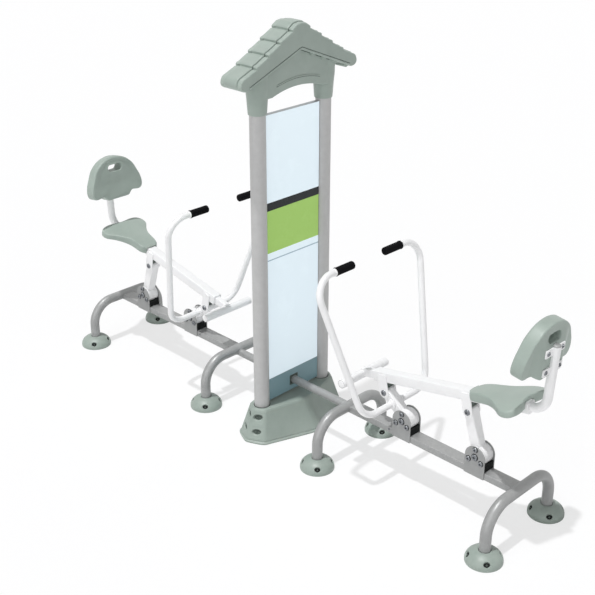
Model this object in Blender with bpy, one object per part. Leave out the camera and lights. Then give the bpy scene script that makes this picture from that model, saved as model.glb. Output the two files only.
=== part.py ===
"""Outdoor rowing machine for two users, back to back with a covered notice board between them.

Metres, +Z up. The origin is on the ground, midway between the two posts. The board faces +X and -X, and
station a lies towards +X. Station b is the same station turned half a turn about the origin.
"""
import math

import bmesh
import bpy
from mathutils import Vector

# General clearances
SEAT_GAP = 0.0003
CUT_OVERRUN = 0.010
WELD_OVERLAP = 0.0005
RUNNING_GAP = 0.0005

# Facets
TUBE_SIDES = 16
SLIM_SIDES = 12
PIN_SIDES = 16
POST_SIDES = 24
CAP_SIDES = 20
BEND_STEPS = 4
ROUND_STEPS = 4
ARCH_STEPS = 8

# Posts and plinth
POST_RADIUS = 0.0445
POST_SPREAD = 0.248
POST_TOP = 2.150
PLINTH_HEIGHT = 0.200
PLINTH_RIM = 0.014
PLINTH_FLARE = 0.007
PLINTH_CORNER_SHARE = 0.23
PLINTH_NOSE_SHARE = 0.30
PLINTH_BASE_END = 0.378
PLINTH_BASE_END_WIDTH = 0.108
PLINTH_BASE_MIDDLE = 0.216
PLINTH_TOP_END = 0.318
PLINTH_TOP_END_WIDTH = 0.072
PLINTH_TOP_MIDDLE = 0.132

# Notice board
BOARD_THICKNESS = 0.030
BOARD_FLOOR_GAP = 0.012
BOARD_ROOF_GAP = 0.013

# Roof, with rises and drops measured from the top of the posts
ROOF_RIDGE_RISE = 0.258
ROOF_RIDGE_HALF = 0.072
ROOF_RIDGE_DROP = 0.028
ROOF_PITCH = math.radians(31.0)
ROOF_COURSES = 4
ROOF_COURSE_RUN = 0.085
ROOF_COURSE_STEP = 0.010
ROOF_OVERHANG = 0.022
ROOF_NOSE_RADIUS = 0.038
ROOF_NOSE_START = 60.0
ROOF_LIP = 0.049
ROOF_HALF_DEPTH = 0.080
ROOF_INNER_RISE = 0.112
GABLE_HALF_DEPTH = 0.057
GABLE_SEAT = 0.020
ARCH_CROWN_DROP = 0.080
ARCH_SPRING_DROP = 0.113
ARCH_HALF = 0.192
SLEEVE_DROP = 0.198
SLEEVE_BOTTOM_WALL = 0.005
SLEEVE_TOP_WALL = 0.017

# Ground frame of a station
FRONT_ARCH = 0.480
REAR_ARCH = 1.639
FOOT_SPREAD = 0.275
LEG_RADIUS = 0.030
ARCH_HEIGHT = 0.295
ARCH_BEND = 0.150
FLANGE_RADIUS = 0.070
FLANGE_THICKNESS = 0.008
SPINE_WIDTH = 0.080
SPINE_HEIGHT = 0.040
SPINE_RISE = 0.013
LINK_RADIUS = 0.024
LINK_DROP = 0.017

# Foot caps
CAP_RADIUS = 0.098
CAP_HEIGHT = 0.068
CAP_WALL = 0.004
CAP_RIM = 0.010

# Bearing brackets and axles
FRONT_AXLE = 0.889
REAR_AXLE = 1.380
HUB_RADIUS = 0.056
HUB_FLOOR_GAP = 0.017
HUB_SIDE_GAP = 0.0008
PLATE_THICKNESS = 0.005
PLATE_MARGIN = 0.007
AXLE_RADIUS = 0.0125
AXLE_HEAD_RADIUS = 0.019
AXLE_HEAD_HEIGHT = 0.008
HEAD_BEVEL_SHARE = 0.5

# Levers, measured from their axles
FRONT_LEVER_LENGTH = 0.182
FRONT_LEVER_ANGLE = math.radians(140.0)
REAR_LEVER_LENGTH = 0.245
REAR_LEVER_ANGLE = math.radians(107.5)
ARM_DEPTH = 0.056
ARM_SIDE_GAP = 0.0005
PIVOT_BOLT_RADIUS = 0.008
PIVOT_HEAD_RADIUS = 0.017
PIVOT_HEAD_HEIGHT = 0.007
FREE_PIVOT_GAP = 0.005

# Seat bar, measured along and square to the line through its two pivots
BAR_OFFSET = 0.091
BAR_WIDTH = 0.060
BAR_HEIGHT = 0.060
BAR_SETBACK = 0.015
LUG_THICKNESS = 0.006
LUG_HALF_LENGTH = 0.030
LUG_OVERLAP = 0.015
NECK_LENGTH = 0.100
NECK_WIDTH = 0.036
NECK_HEIGHT = 0.046
NECK_INSET = 0.004
FOOTREST_REACH = 0.167
FOOTREST_DROP = 0.013
FOOTREST_RADIUS = 0.025
FOOTREST_HALF = 0.187

# Handlebar
HANDLE_RADIUS = 0.0185
HANDLE_ON_LEVER = 0.108
HANDLE_BOTTOM_HALF = 0.263
HANDLE_TOP_HALF = 0.422
HANDLE_FORWARD = 0.226
HANDLE_RISE = 0.788
HANDLE_BOTTOM_BEND = 0.120
HANDLE_TOP_BEND = 0.110
HANDLE_RETURN = 0.291
COLLAR_RADIUS = 0.028
COLLAR_WIDTH = 0.010
GRIP_RADIUS = 0.0225
GRIP_LENGTH = 0.133
GRIP_END_WALL = 0.004
GRIP_BEAD = 0.003

# Back tube, with heights measured from the corner where its line meets the bar's
BACK_REACH = 0.080
BACK_RECLINE = math.radians(3.0)
BACK_TUBE_RADIUS = 0.024
BACK_TUBE_RISE = 0.355
BACK_TUBE_BEND = 0.090
PLUG_RISE = 0.012
PLUG_RADIUS_SHARE = 0.8
PLUG_TIP_SHARE = 0.35
PLUG_SHOULDER_SHARE = 0.6
STRAP_HALF = 0.079
STRAP_HEIGHT = 0.040
STRAP_THICKNESS = 0.008
STRAP_LOW_RISE = 0.229
STRAP_HIGH_RISE = 0.331

# Backrest panel
BACKREST_RECLINE = math.radians(8.5)
BACKREST_TUBE_GAP = 0.0068
BACKREST_THICKNESS = 0.072
BACKREST_HALF = 0.204
BACKREST_LOW_RISE = 0.192
BACKREST_HEIGHT = 0.280
BACKREST_EDGE = 0.018
BOSS_MARGIN = 0.013
BOSS_HEAD = 0.006
BOSS_FOOT = 0.006
BOSS_TUBE_GAP = 0.0015
BACKREST_SIDE_SHARES = ((0.00, 1.00), (0.14, 0.99), (0.31, 0.963), (0.495, 0.902), (0.675, 0.792), (0.775, 0.70),
                        (0.884, 0.522), (0.949, 0.432), (1.00, 0.27), (0.985, 0.18), (0.934, 0.119),
                        (0.833, 0.101), (0.581, 0.094), (0.455, 0.036), (0.354, 0.00), (0.00, 0.00))
BACKREST_EDGE_SHARES = ((0.00, 1.00), (0.33, 0.25), (1.00, 0.00))
SLOT_RISE = 0.398
SLOT_HALF = 0.053
SLOT_RADIUS = 0.022

# Seat, measured along the bar from the front pivot and up from the bar's centre line
SEAT_CENTRE = 0.828
SEAT_NOSE_REACH = 0.232
SEAT_TAIL_REACH = 0.130
SEAT_HALF = 0.168
SEAT_CROWN = 0.056
SEAT_DROOP = 0.042
SEAT_NOSE_FALL = 0.020
SEAT_SKIRT = 0.004
SEAT_SKIRT_FALL = 0.013
SEAT_EDGE = 0.020
SEAT_NOSE_SHARES = ((1.00, 0.00), (0.99, 0.20), (0.93, 0.34), (0.80, 0.40), (0.62, 0.41), (0.44, 0.45),
                    (0.26, 0.55), (0.08, 0.71))
SEAT_TAIL_SHARES = ((0.10, 0.86), (0.34, 0.97), (0.58, 1.00), (0.80, 0.95), (0.96, 0.80), (1.00, 0.60),
                    (0.95, 0.38), (0.88, 0.18), (0.86, 0.00))
SEAT_TOP_SHARES = ((0.35, 0.0), (0.70, 0.0), (0.89, 0.0), (0.966, 0.3), (1.00, 0.8))
SEAT_UNDER_SHARES = ((1.00, 0.35), (0.945, 0.0))

# Looks
BODY_GREY = (0.42, 0.42, 0.44)
MOVING_WHITE = (0.85, 0.85, 0.86)
SAGE = (0.40, 0.46, 0.42)
GRIP_BLACK = (0.015, 0.015, 0.017)
BOLT_STEEL = (0.30, 0.31, 0.33)
BOARD_BLUE = (0.70, 0.82, 0.90)
SHARP_ANGLE = math.radians(35.0)

# Directions
ALONG_X = Vector((1, 0, 0))
ALONG_Y = Vector((0, 1, 0))
ALONG_Z = Vector((0, 0, 1))


# Places that several pieces share

def polar(origin, length, angle):
    return (origin[0] + length * math.cos(angle), origin[1] + length * math.sin(angle))


SPINE_TOP = ARCH_HEIGHT + SPINE_RISE
ARM_HALF = BAR_WIDTH / 2 - WELD_OVERLAP - ARM_SIDE_GAP
AXLE_HEIGHT = SPINE_TOP + HUB_FLOOR_GAP + HUB_RADIUS
FRONT_PIVOT = polar((FRONT_AXLE, AXLE_HEIGHT), FRONT_LEVER_LENGTH, FRONT_LEVER_ANGLE)
REAR_PIVOT = polar((REAR_AXLE, AXLE_HEIGHT), REAR_LEVER_LENGTH, REAR_LEVER_ANGLE)
COUPLER = math.dist(FRONT_PIVOT, REAR_PIVOT)
HANDLE_END = HANDLE_TOP_HALF - HANDLE_RETURN
BAR_ANGLE = math.atan2(REAR_PIVOT[1] - FRONT_PIVOT[1], REAR_PIVOT[0] - FRONT_PIVOT[0])
BAR_REAR = SEAT_CENTRE + SEAT_TAIL_REACH - BAR_SETBACK
BAR_ORIGIN = (FRONT_PIVOT[0], 0, FRONT_PIVOT[1])
ROOF_RIDGE_EDGE = POST_TOP + ROOF_RIDGE_RISE - ROOF_RIDGE_DROP
ROOF_EAVE = ROOF_RIDGE_HALF + ROOF_COURSES * ROOF_COURSE_RUN + ROOF_OVERHANG
SLEEVE_BOTTOM = POST_TOP - SLEEVE_DROP


def on_bar(along, above):
    """X and Z of a point given along the pivot line from the front pivot, and square above it."""
    x = FRONT_PIVOT[0] + along * math.cos(BAR_ANGLE) - above * math.sin(BAR_ANGLE)
    z = FRONT_PIVOT[1] + along * math.sin(BAR_ANGLE) + above * math.cos(BAR_ANGLE)
    return (x, z)


def on_back(ahead, rise):
    """X and Z of a point at a rise above the back tube's lower corner, moved ahead square to its line."""
    corner = on_bar(BAR_REAR + BACK_REACH, BAR_OFFSET)
    x = corner[0] + rise * math.tan(BACK_RECLINE) - ahead * math.cos(BACK_RECLINE)
    return (x, corner[1] + rise + ahead * math.sin(BACK_RECLINE))


def on_panel(ahead, rise):
    """X and Z of a point on the backrest's rear plane, moved ahead square to that plane."""
    hold = on_back(0, STRAP_HIGH_RISE)
    x = hold[0] - BACK_TUBE_RADIUS - BACKREST_TUBE_GAP + (rise - STRAP_HIGH_RISE) * math.tan(BACKREST_RECLINE)
    z = hold[1] + rise - STRAP_HIGH_RISE
    return (x - ahead * math.cos(BACKREST_RECLINE), z + ahead * math.sin(BACKREST_RECLINE))


def handle_on_lever():
    return polar((FRONT_AXLE, AXLE_HEIGHT), HANDLE_ON_LEVER, FRONT_LEVER_ANGLE)


# Scene

def clear_scene():
    for old in list(bpy.data.objects):
        bpy.data.objects.remove(old, do_unlink=True)


def material(name, colour, roughness, metallic):
    result = bpy.data.materials.new(name)
    result.use_nodes = True
    shader = result.node_tree.nodes["Principled BSDF"]
    shader.inputs["Base Color"].default_value = (*colour, 1.0)
    shader.inputs["Roughness"].default_value = roughness
    shader.inputs["Metallic"].default_value = metallic
    return result


class Station:
    """One user's half of the machine, as an empty that carries its pieces."""

    def __init__(self, letter, turn):
        self.letter = letter
        self.empty = bpy.data.objects.new("station_" + letter, None)
        self.empty.rotation_euler = (0, 0, turn)
        bpy.context.collection.objects.link(self.empty)


def place(name, bm, finish, stations=None, origin=(0, 0, 0)):
    """Makes one object, or one for each station, with its origin on its joint's axis."""
    origin = Vector(origin)
    bmesh.ops.translate(bm, verts=bm.verts, vec=-origin)
    mesh = bpy.data.meshes.new(name)
    bm.to_mesh(mesh)
    bm.free()
    mesh.materials.append(finish)
    mesh.shade_smooth()
    mesh.set_sharp_from_angle(angle=SHARP_ANGLE)
    for station in stations or [None]:
        obj = bpy.data.objects.new(station.letter + "_" + name if station else name, mesh)
        obj.location = origin
        obj.parent = station.empty if station else None
        bpy.context.collection.objects.link(obj)


# Solids

def fillet(corners, radii):
    """A path through the corners, each inner corner rounded with its own bend radius."""
    points = [Vector(corners[0])]
    for index in range(1, len(corners) - 1):
        here = Vector(corners[index])
        back = (Vector(corners[index - 1]) - here).normalized()
        ahead = (Vector(corners[index + 1]) - here).normalized()
        half_angle = back.angle(ahead) / 2
        run = radii[index - 1] / math.tan(half_angle)
        centre = here + (back + ahead).normalized() * radii[index - 1] / math.sin(half_angle)
        start = here + back * run - centre
        end = here + ahead * run - centre
        turn = start.angle(end)
        for step in range(BEND_STEPS + 1):
            share = step / BEND_STEPS
            along = math.sin((1 - share) * turn) * start + math.sin(share * turn) * end
            points.append(centre + along / math.sin(turn))
    points.append(Vector(corners[-1]))
    return points


def ring(bm, centre, across, up, radius, sides):
    points = []
    for index in range(sides):
        angle = 2 * math.pi * (index + 0.5) / sides
        points.append(bm.verts.new(centre + radius * (math.cos(angle) * across + math.sin(angle) * up)))
    return points


def skin(bm, rings):
    """Walls between rings of equal count, and a flat face over each end."""
    for first, second in zip(rings, rings[1:]):
        count = len(first)
        for index in range(count):
            after = (index + 1) % count
            bm.faces.new((first[index], first[after], second[after], second[index]))
    bm.faces.new(list(reversed(rings[0])))
    bm.faces.new(rings[-1])
    bmesh.ops.recalc_face_normals(bm, faces=bm.faces)


def tube(path, radius, sides=TUBE_SIDES, across=ALONG_Y):
    """A round bar along a flat path, its rings mitred at each point."""
    bm = bmesh.new()
    rings = []
    side = across
    for index, point in enumerate(path):
        before = path[max(index - 1, 0)]
        after = path[min(index + 1, len(path) - 1)]
        direction = ((point - before).normalized() + (after - point).normalized()).normalized()
        side = (side - direction * side.dot(direction)).normalized()
        rings.append(ring(bm, point, side, direction.cross(side), radius, sides))
    skin(bm, rings)
    return bm


def turned(profile, centre, axis, sides):
    """A solid turned about an axis: the profile holds a radius and a height along it for each ring."""
    bm = bmesh.new()
    centre = Vector(centre)
    across = axis.orthogonal().normalized()
    up = axis.cross(across)
    rings = [ring(bm, centre + axis * height, across, up, radius, sides) for radius, height in profile]
    skin(bm, rings)
    return bm


def rod(centre, length, radius, sides=PIN_SIDES):
    """A plain round pin along Y, centred on a place."""
    return turned([(radius, -length / 2), (radius, length / 2)], centre, ALONG_Y, sides)


def block(low, high):
    bm = bmesh.new()
    bmesh.ops.create_cube(bm, size=1.0)
    low = Vector(low)
    high = Vector(high)
    for vert in bm.verts:
        vert.co = Vector([(vert.co[i] + 0.5) * (high[i] - low[i]) + low[i] for i in range(3)])
    return bm


def plate(outline, low, high):
    """An outline in X and Z, drawn out along Y from low to high."""
    bm = bmesh.new()
    skin(bm, [[bm.verts.new((x, y, z)) for x, z in outline] for y in (low, high)])
    return bm


def slab(outline, half):
    """An outline in Y and Z, drawn out along X to the same depth on both sides."""
    bm = bmesh.new()
    skin(bm, [[bm.verts.new((x, y, z)) for y, z in outline] for x in (-half, half)])
    return bm


def arc(centre, radius, start, end, steps):
    """Points on a circle between two angles in degrees."""
    angles = [math.radians(start + (end - start) * step / steps) for step in range(steps + 1)]
    return [polar(centre, radius, angle) for angle in angles]


def mirrored(side):
    """A whole outline from its half, which starts and ends on the middle line."""
    return list(side) + [(-across, other) for across, other in reversed(side) if across > 0]


def to_object(name, bm):
    mesh = bpy.data.meshes.new(name)
    bm.to_mesh(mesh)
    bm.free()
    obj = bpy.data.objects.new(name, mesh)
    bpy.context.collection.objects.link(obj)
    return obj


def combine(base, tool, operation):
    """One solid joined to another or cut by it, as a new bmesh. Both inputs are used up."""
    first = to_object("base", base)
    second = to_object("tool", tool)
    modifier = first.modifiers.new("combine", "BOOLEAN")
    modifier.operation = operation
    modifier.object = second
    bpy.context.view_layer.update()
    depsgraph = bpy.context.evaluated_depsgraph_get()
    result = bmesh.new()
    result.from_mesh(first.evaluated_get(depsgraph).to_mesh())
    for used in (first, second):
        mesh = used.data
        bpy.data.objects.remove(used, do_unlink=True)
        bpy.data.meshes.remove(mesh)
    return result


def join(base, *tools):
    for tool in tools:
        base = combine(base, tool, "UNION")
    return base


def cut(base, *tools):
    for tool in tools:
        base = combine(base, tool, "DIFFERENCE")
    return base


def linked(seed):
    """All vertices that edges join to a first one."""
    group = {seed}
    front = [seed]
    while front:
        vert = front.pop()
        for edge in vert.link_edges:
            other = edge.other_vert(vert)
            if other not in group:
                group.add(other)
                front.append(other)
    return group


def longest_piece(bm):
    """Keeps the body with the most length along X, when a cut has left slivers."""
    remaining = set(bm.verts)
    groups = []
    while remaining:
        group = linked(next(iter(remaining)))
        remaining -= group
        groups.append(group)
    keep = max(groups, key=lambda group: max(v.co.x for v in group) - min(v.co.x for v in group))
    spare = [vert for vert in bm.verts if vert not in keep]
    bmesh.ops.delete(bm, geom=spare, context="VERTS")
    return bm


def headed_pin(centre, reach, shank, head_radius, head_height):
    """A pin along Y with a bevelled round head at each end, both heads outside the reach."""
    step = head_height * HEAD_BEVEL_SHARE
    half = [(shank, reach), (head_radius, reach), (head_radius, reach + head_height - step),
            (head_radius - step, reach + head_height)]
    profile = [(radius, -height) for radius, height in reversed(half)] + half
    return turned(profile, centre, ALONG_Y, PIN_SIDES)


# Centre

def post_hole(side, bottom, top):
    radius = POST_RADIUS + SEAT_GAP
    return turned([(radius, bottom), (radius, top)], (0, side * POST_SPREAD, 0), ALONG_Z, POST_SIDES)


def plinth_outline(end, end_width, middle, grow):
    """Boat outline in X and Y: widest at the middle, with a rounded corner near each end."""
    start = Vector((end_width + grow, end * (1 - PLINTH_CORNER_SHARE)))
    corner = Vector((end_width + grow, end + grow))
    stop = Vector((end_width * PLINTH_NOSE_SHARE, end + grow))
    quarter = [(middle + grow, 0)]
    for step in range(ROUND_STEPS + 1):
        share = step / ROUND_STEPS
        quarter.append(tuple(start.lerp(corner, share).lerp(corner.lerp(stop, share), share)))
    upper = quarter + [(-x, y) for x, y in reversed(quarter)]
    return upper + [(-x, -y) for x, y in quarter[1:]] + [(x, -y) for x, y in reversed(quarter[1:])]


def build_plinth(finish):
    bm = bmesh.new()
    base = (PLINTH_BASE_END, PLINTH_BASE_END_WIDTH, PLINTH_BASE_MIDDLE)
    top = (PLINTH_TOP_END, PLINTH_TOP_END_WIDTH, PLINTH_TOP_MIDDLE)
    levels = [(base, PLINTH_FLARE, 0), (base, PLINTH_FLARE, PLINTH_RIM / 2), (base, 0, PLINTH_RIM),
              (top, 0, PLINTH_HEIGHT - PLINTH_FLARE), (top, -PLINTH_FLARE, PLINTH_HEIGHT)]
    rings = []
    for sizes, grow, height in levels:
        rings.append([bm.verts.new((x, y, height)) for x, y in plinth_outline(*sizes, grow)])
    skin(bm, rings)
    holes = [post_hole(side, -CUT_OVERRUN, PLINTH_HEIGHT + CUT_OVERRUN) for side in (-1, 1)]
    place("base_plinth", cut(bm, *holes), finish)


def build_posts(finish):
    for name, side in (("post_left", -1), ("post_right", 1)):
        bm = turned([(POST_RADIUS, 0), (POST_RADIUS, POST_TOP)], (0, side * POST_SPREAD, 0), ALONG_Z, POST_SIDES)
        place(name, bm, finish)


def build_board(finish):
    half = POST_SPREAD - POST_RADIUS - SEAT_GAP
    bm = block((-BOARD_THICKNESS / 2, -half, PLINTH_HEIGHT + BOARD_FLOOR_GAP),
               (BOARD_THICKNESS / 2, half, SLEEVE_BOTTOM - BOARD_ROOF_GAP))
    place("sign_board", bm, finish)


def nose_centre():
    """Y and Z of the round eave's centre, which the lowest course runs into."""
    y = ROOF_EAVE - ROOF_NOSE_RADIUS
    return (y, ROOF_RIDGE_EDGE - math.tan(ROOF_PITCH) * (y - ROOF_RIDGE_HALF) - ROOF_NOSE_RADIUS)


def barge_line(y):
    """Height of the barge's lower edge, which rises to the middle less steeply than the roof."""
    apex = POST_TOP + ROOF_INNER_RISE
    foot = nose_centre()[1] - ROOF_NOSE_RADIUS
    return apex - (apex - foot) * y / (ROOF_EAVE - ROOF_LIP)


def course_line():
    """One slope in Y and Z: a low ridge cap, then courses that each drop a step at their upper edge."""
    ridge = POST_TOP + ROOF_RIDGE_RISE
    side = [(0, ridge), (ROOF_RIDGE_HALF / 2, ridge - ROOF_COURSE_STEP / 2), (ROOF_RIDGE_HALF, ROOF_RIDGE_EDGE)]
    fall = math.tan(ROOF_PITCH) * ROOF_COURSE_RUN
    for course in range(ROOF_COURSES):
        start = ROOF_RIDGE_HALF + course * ROOF_COURSE_RUN
        height = ROOF_RIDGE_EDGE - course * fall
        side.append((start, height - ROOF_COURSE_STEP))
        if course < ROOF_COURSES - 1:
            side.append((start + ROOF_COURSE_RUN, height - fall))
    return side


def gable_outline():
    """The panel between the sleeves: up into the roof, and an arch along its lower edge."""
    spring = POST_TOP - ARCH_SPRING_DROP
    crown = POST_TOP - ARCH_CROWN_DROP
    points = [(POST_SPREAD, spring), (POST_SPREAD, barge_line(POST_SPREAD) + GABLE_SEAT),
              (0, barge_line(0) + GABLE_SEAT), (-POST_SPREAD, barge_line(POST_SPREAD) + GABLE_SEAT),
              (-POST_SPREAD, spring)]
    for step in range(ARCH_STEPS + 1):
        share = 2 * step / ARCH_STEPS - 1
        points.append((share * ARCH_HALF, spring + (crown - spring) * (1 - share ** 2)))
    return points


def build_roof(finish):
    nose = arc(nose_centre(), ROOF_NOSE_RADIUS, ROOF_NOSE_START, -90, 2 * ROUND_STEPS)
    foot = ROOF_EAVE - ROOF_LIP
    side = course_line() + nose + [(foot, barge_line(foot)), (0, barge_line(0))]
    bm = join(slab(mirrored(side), ROOF_HALF_DEPTH), slab(gable_outline(), GABLE_HALF_DEPTH))
    bore = POST_RADIUS + SEAT_GAP
    profile = [(bore + SLEEVE_BOTTOM_WALL, SLEEVE_BOTTOM), (bore + SLEEVE_TOP_WALL, barge_line(POST_SPREAD)),
               (bore + SLEEVE_TOP_WALL, barge_line(POST_SPREAD) + GABLE_SEAT)]
    for side in (-1, 1):
        bm = join(bm, turned(profile, (0, side * POST_SPREAD, 0), ALONG_Z, POST_SIDES))
        bm = cut(bm, post_hole(side, SLEEVE_BOTTOM - CUT_OVERRUN, POST_TOP + SEAT_GAP))
    place("roof_cap", bm, finish)


# Ground frame of a station

def arch_solid(x, grow=0.0):
    low = FLANGE_THICKNESS - WELD_OVERLAP
    corners = [(x, -FOOT_SPREAD, low), (x, -FOOT_SPREAD, ARCH_HEIGHT),
               (x, FOOT_SPREAD, ARCH_HEIGHT), (x, FOOT_SPREAD, low)]
    return tube(fillet(corners, [ARCH_BEND, ARCH_BEND]), LEG_RADIUS + grow, TUBE_SIDES, ALONG_X)


def build_arches(stations, finish):
    for name, x in (("front_arch", FRONT_ARCH), ("rear_arch", REAR_ARCH)):
        bm = arch_solid(x)
        for side in (-1, 1):
            flange = [(FLANGE_RADIUS, 0), (FLANGE_RADIUS, FLANGE_THICKNESS)]
            bm = join(bm, turned(flange, (x, side * FOOT_SPREAD, 0), ALONG_Z, TUBE_SIDES))
        place(name, bm, finish, stations)


def build_spine(stations, finish):
    half = SPINE_WIDTH / 2
    bm = block((FRONT_ARCH, -half, SPINE_TOP - SPINE_HEIGHT), (REAR_ARCH, half, SPINE_TOP))
    bm = cut(bm, arch_solid(FRONT_ARCH, SEAT_GAP), arch_solid(REAR_ARCH, SEAT_GAP))
    place("spine", longest_piece(bm), finish, stations)


def build_link_tube(stations, finish):
    height = ARCH_HEIGHT - LINK_DROP
    start = Vector((BOARD_THICKNESS / 2 + SEAT_GAP, 0, height))
    bm = cut(tube([start, Vector((FRONT_ARCH, 0, height))], LINK_RADIUS), arch_solid(FRONT_ARCH, SEAT_GAP))
    place("link_tube", longest_piece(bm), finish, stations)


def dome_profile(radius, height, steps):
    """A quarter ellipse over a short upright rim, ending in a small flat top round the leg."""
    points = [(radius, 0)]
    last = math.acos((LEG_RADIUS + CAP_WALL) / radius)
    for step in range(steps + 1):
        angle = last * step / steps
        rise = math.sin(angle) / math.sin(last)
        points.append((radius * math.cos(angle), CAP_RIM + (height - CAP_RIM) * rise))
    return points


def build_caps(stations, finish):
    outer = dome_profile(CAP_RADIUS, CAP_HEIGHT, ROUND_STEPS)
    inner = dome_profile(CAP_RADIUS - CAP_WALL, CAP_HEIGHT - CAP_WALL, ROUND_STEPS // 2)
    inner[0] = (inner[0][0], -CUT_OVERRUN)
    bore = [(LEG_RADIUS + SEAT_GAP, 0), (LEG_RADIUS + SEAT_GAP, CAP_HEIGHT + CUT_OVERRUN)]
    for end, x in (("front", FRONT_ARCH), ("rear", REAR_ARCH)):
        for hand, side in (("left", -1), ("right", 1)):
            foot = (x, side * FOOT_SPREAD, 0)
            bm = cut(turned(outer, foot, ALONG_Z, CAP_SIDES), turned(inner, foot, ALONG_Z, CAP_SIDES),
                     turned(bore, foot, ALONG_Z, TUBE_SIDES))
            place("cap_" + end + "_" + hand, bm, finish, stations)


def build_brackets(stations, finish):
    inner = SPINE_WIDTH / 2 + SEAT_GAP
    outer = inner + PLATE_THICKNESS
    radius = HUB_RADIUS + PLATE_MARGIN
    bottom = SPINE_TOP - SPINE_HEIGHT
    for end, x in (("front", FRONT_AXLE), ("rear", REAR_AXLE)):
        outline = arc((x, AXLE_HEIGHT), radius, 0, 180, 3 * ROUND_STEPS)
        outline += [(x - radius, bottom), (x + radius, bottom)]
        for hand, low, high in (("left", -outer, -inner), ("right", inner, outer)):
            hole = rod((x, (low + high) / 2, AXLE_HEIGHT), 2 * CUT_OVERRUN, AXLE_RADIUS + SEAT_GAP)
            place(end + "_bracket_" + hand, cut(plate(outline, low, high), hole), finish, stations)


def build_axles(stations, finish):
    reach = SPINE_WIDTH / 2 + SEAT_GAP + PLATE_THICKNESS + SEAT_GAP
    for end, x in (("front", FRONT_AXLE), ("rear", REAR_AXLE)):
        centre = (x, 0, AXLE_HEIGHT)
        bm = headed_pin(centre, reach, AXLE_RADIUS, AXLE_HEAD_RADIUS, AXLE_HEAD_HEIGHT)
        place(end + "_axle", bm, finish, stations, centre)


# Linkage

def arm_outline(axle, pivot):
    """A lever arm in X and Z: straight sides from the axle, a round end about the pivot."""
    angle = math.degrees(math.atan2(pivot[1] - axle[1], pivot[0] - axle[0]))
    outline = arc(pivot, ARM_DEPTH / 2, angle - 90, angle + 90, 2 * ROUND_STEPS)
    return outline + arc(axle, ARM_DEPTH / 2, angle + 90, angle + 270, 1)


def lever_solid(axle_x, pivot, pivot_bore):
    hub = rod((axle_x, 0, AXLE_HEIGHT), SPINE_WIDTH - 2 * HUB_SIDE_GAP, HUB_RADIUS)
    arm = plate(arm_outline((axle_x, AXLE_HEIGHT), pivot), -ARM_HALF, ARM_HALF)
    return cut(join(hub, arm), rod((axle_x, 0, AXLE_HEIGHT), SPINE_WIDTH + CUT_OVERRUN, AXLE_RADIUS + RUNNING_GAP),
               rod((pivot[0], 0, pivot[1]), BAR_WIDTH + CUT_OVERRUN, pivot_bore))


def build_levers(stations, finish):
    x, z = handle_on_lever()
    bm = cut(lever_solid(FRONT_AXLE, FRONT_PIVOT, PIVOT_BOLT_RADIUS + RUNNING_GAP),
             rod((x, 0, z), BAR_WIDTH + CUT_OVERRUN, HANDLE_RADIUS + SEAT_GAP, SLIM_SIDES))
    place("front_lever", bm, finish, stations, (FRONT_AXLE, 0, AXLE_HEIGHT))
    bm = lever_solid(REAR_AXLE, REAR_PIVOT, PIVOT_BOLT_RADIUS + FREE_PIVOT_GAP)
    place("rear_lever", bm, finish, stations, (REAR_AXLE, 0, AXLE_HEIGHT))


def build_handlebar(stations, finish, grip_finish):
    low_x, low_z = handle_on_lever()
    top_x = low_x - HANDLE_FORWARD
    top_z = low_z + HANDLE_RISE
    corners = [(top_x, -HANDLE_END, top_z), (top_x, -HANDLE_TOP_HALF, top_z), (low_x, -HANDLE_BOTTOM_HALF, low_z),
               (low_x, HANDLE_BOTTOM_HALF, low_z), (top_x, HANDLE_TOP_HALF, top_z), (top_x, HANDLE_END, top_z)]
    path = fillet(corners, [HANDLE_TOP_BEND, HANDLE_BOTTOM_BEND, HANDLE_BOTTOM_BEND, HANDLE_TOP_BEND])
    square = Vector((-HANDLE_FORWARD, 0, HANDLE_RISE)).cross(ALONG_Y).normalized()
    origin = (FRONT_AXLE, 0, AXLE_HEIGHT)
    bm = tube(path, HANDLE_RADIUS, SLIM_SIDES, square)
    for side in (-1, 1):
        middle = side * (ARM_HALF + SEAT_GAP + COLLAR_WIDTH / 2)
        bm = join(bm, rod((low_x, middle, low_z), COLLAR_WIDTH, COLLAR_RADIUS))
    place("handlebar", bm, finish, stations, origin)
    bead = GRIP_RADIUS + GRIP_BEAD
    profile = [(GRIP_RADIUS, 0), (bead, GRIP_BEAD), (bead, 2 * GRIP_BEAD), (GRIP_RADIUS, 3 * GRIP_BEAD),
               (GRIP_RADIUS, GRIP_LENGTH - GRIP_BEAD), (GRIP_RADIUS - GRIP_BEAD, GRIP_LENGTH)]
    for hand, side in (("left", -1), ("right", 1)):
        tip = HANDLE_END - SEAT_GAP
        bm = turned(profile, (top_x, side * (tip - GRIP_END_WALL + GRIP_LENGTH), top_z), ALONG_Y * -side, PIN_SIDES)
        start = Vector((top_x, side * tip, top_z))
        end = Vector((top_x, side * (tip + GRIP_LENGTH + CUT_OVERRUN), top_z))
        bore = tube([start, end], HANDLE_RADIUS + SEAT_GAP, SLIM_SIDES, square)
        place("grip_" + hand, cut(bm, bore), grip_finish, stations, origin)


# Seat bar and what it carries

def bar_box(along_low, along_high, above_low, above_high, half):
    corners = [on_bar(along_low, above_low), on_bar(along_high, above_low),
               on_bar(along_high, above_high), on_bar(along_low, above_high)]
    return plate(corners, -half, half)


def lug_plate(along, low, high):
    """A side plate from the bar down to a pivot, with a round lower end."""
    angle = math.degrees(BAR_ANGLE)
    top = BAR_OFFSET + LUG_OVERLAP
    outline = arc(on_bar(along, 0), LUG_HALF_LENGTH, angle + 180, angle + 360, 2 * ROUND_STEPS)
    outline += [on_bar(along + LUG_HALF_LENGTH, top), on_bar(along - LUG_HALF_LENGTH, top)]
    return plate(outline, low, high)


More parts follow.
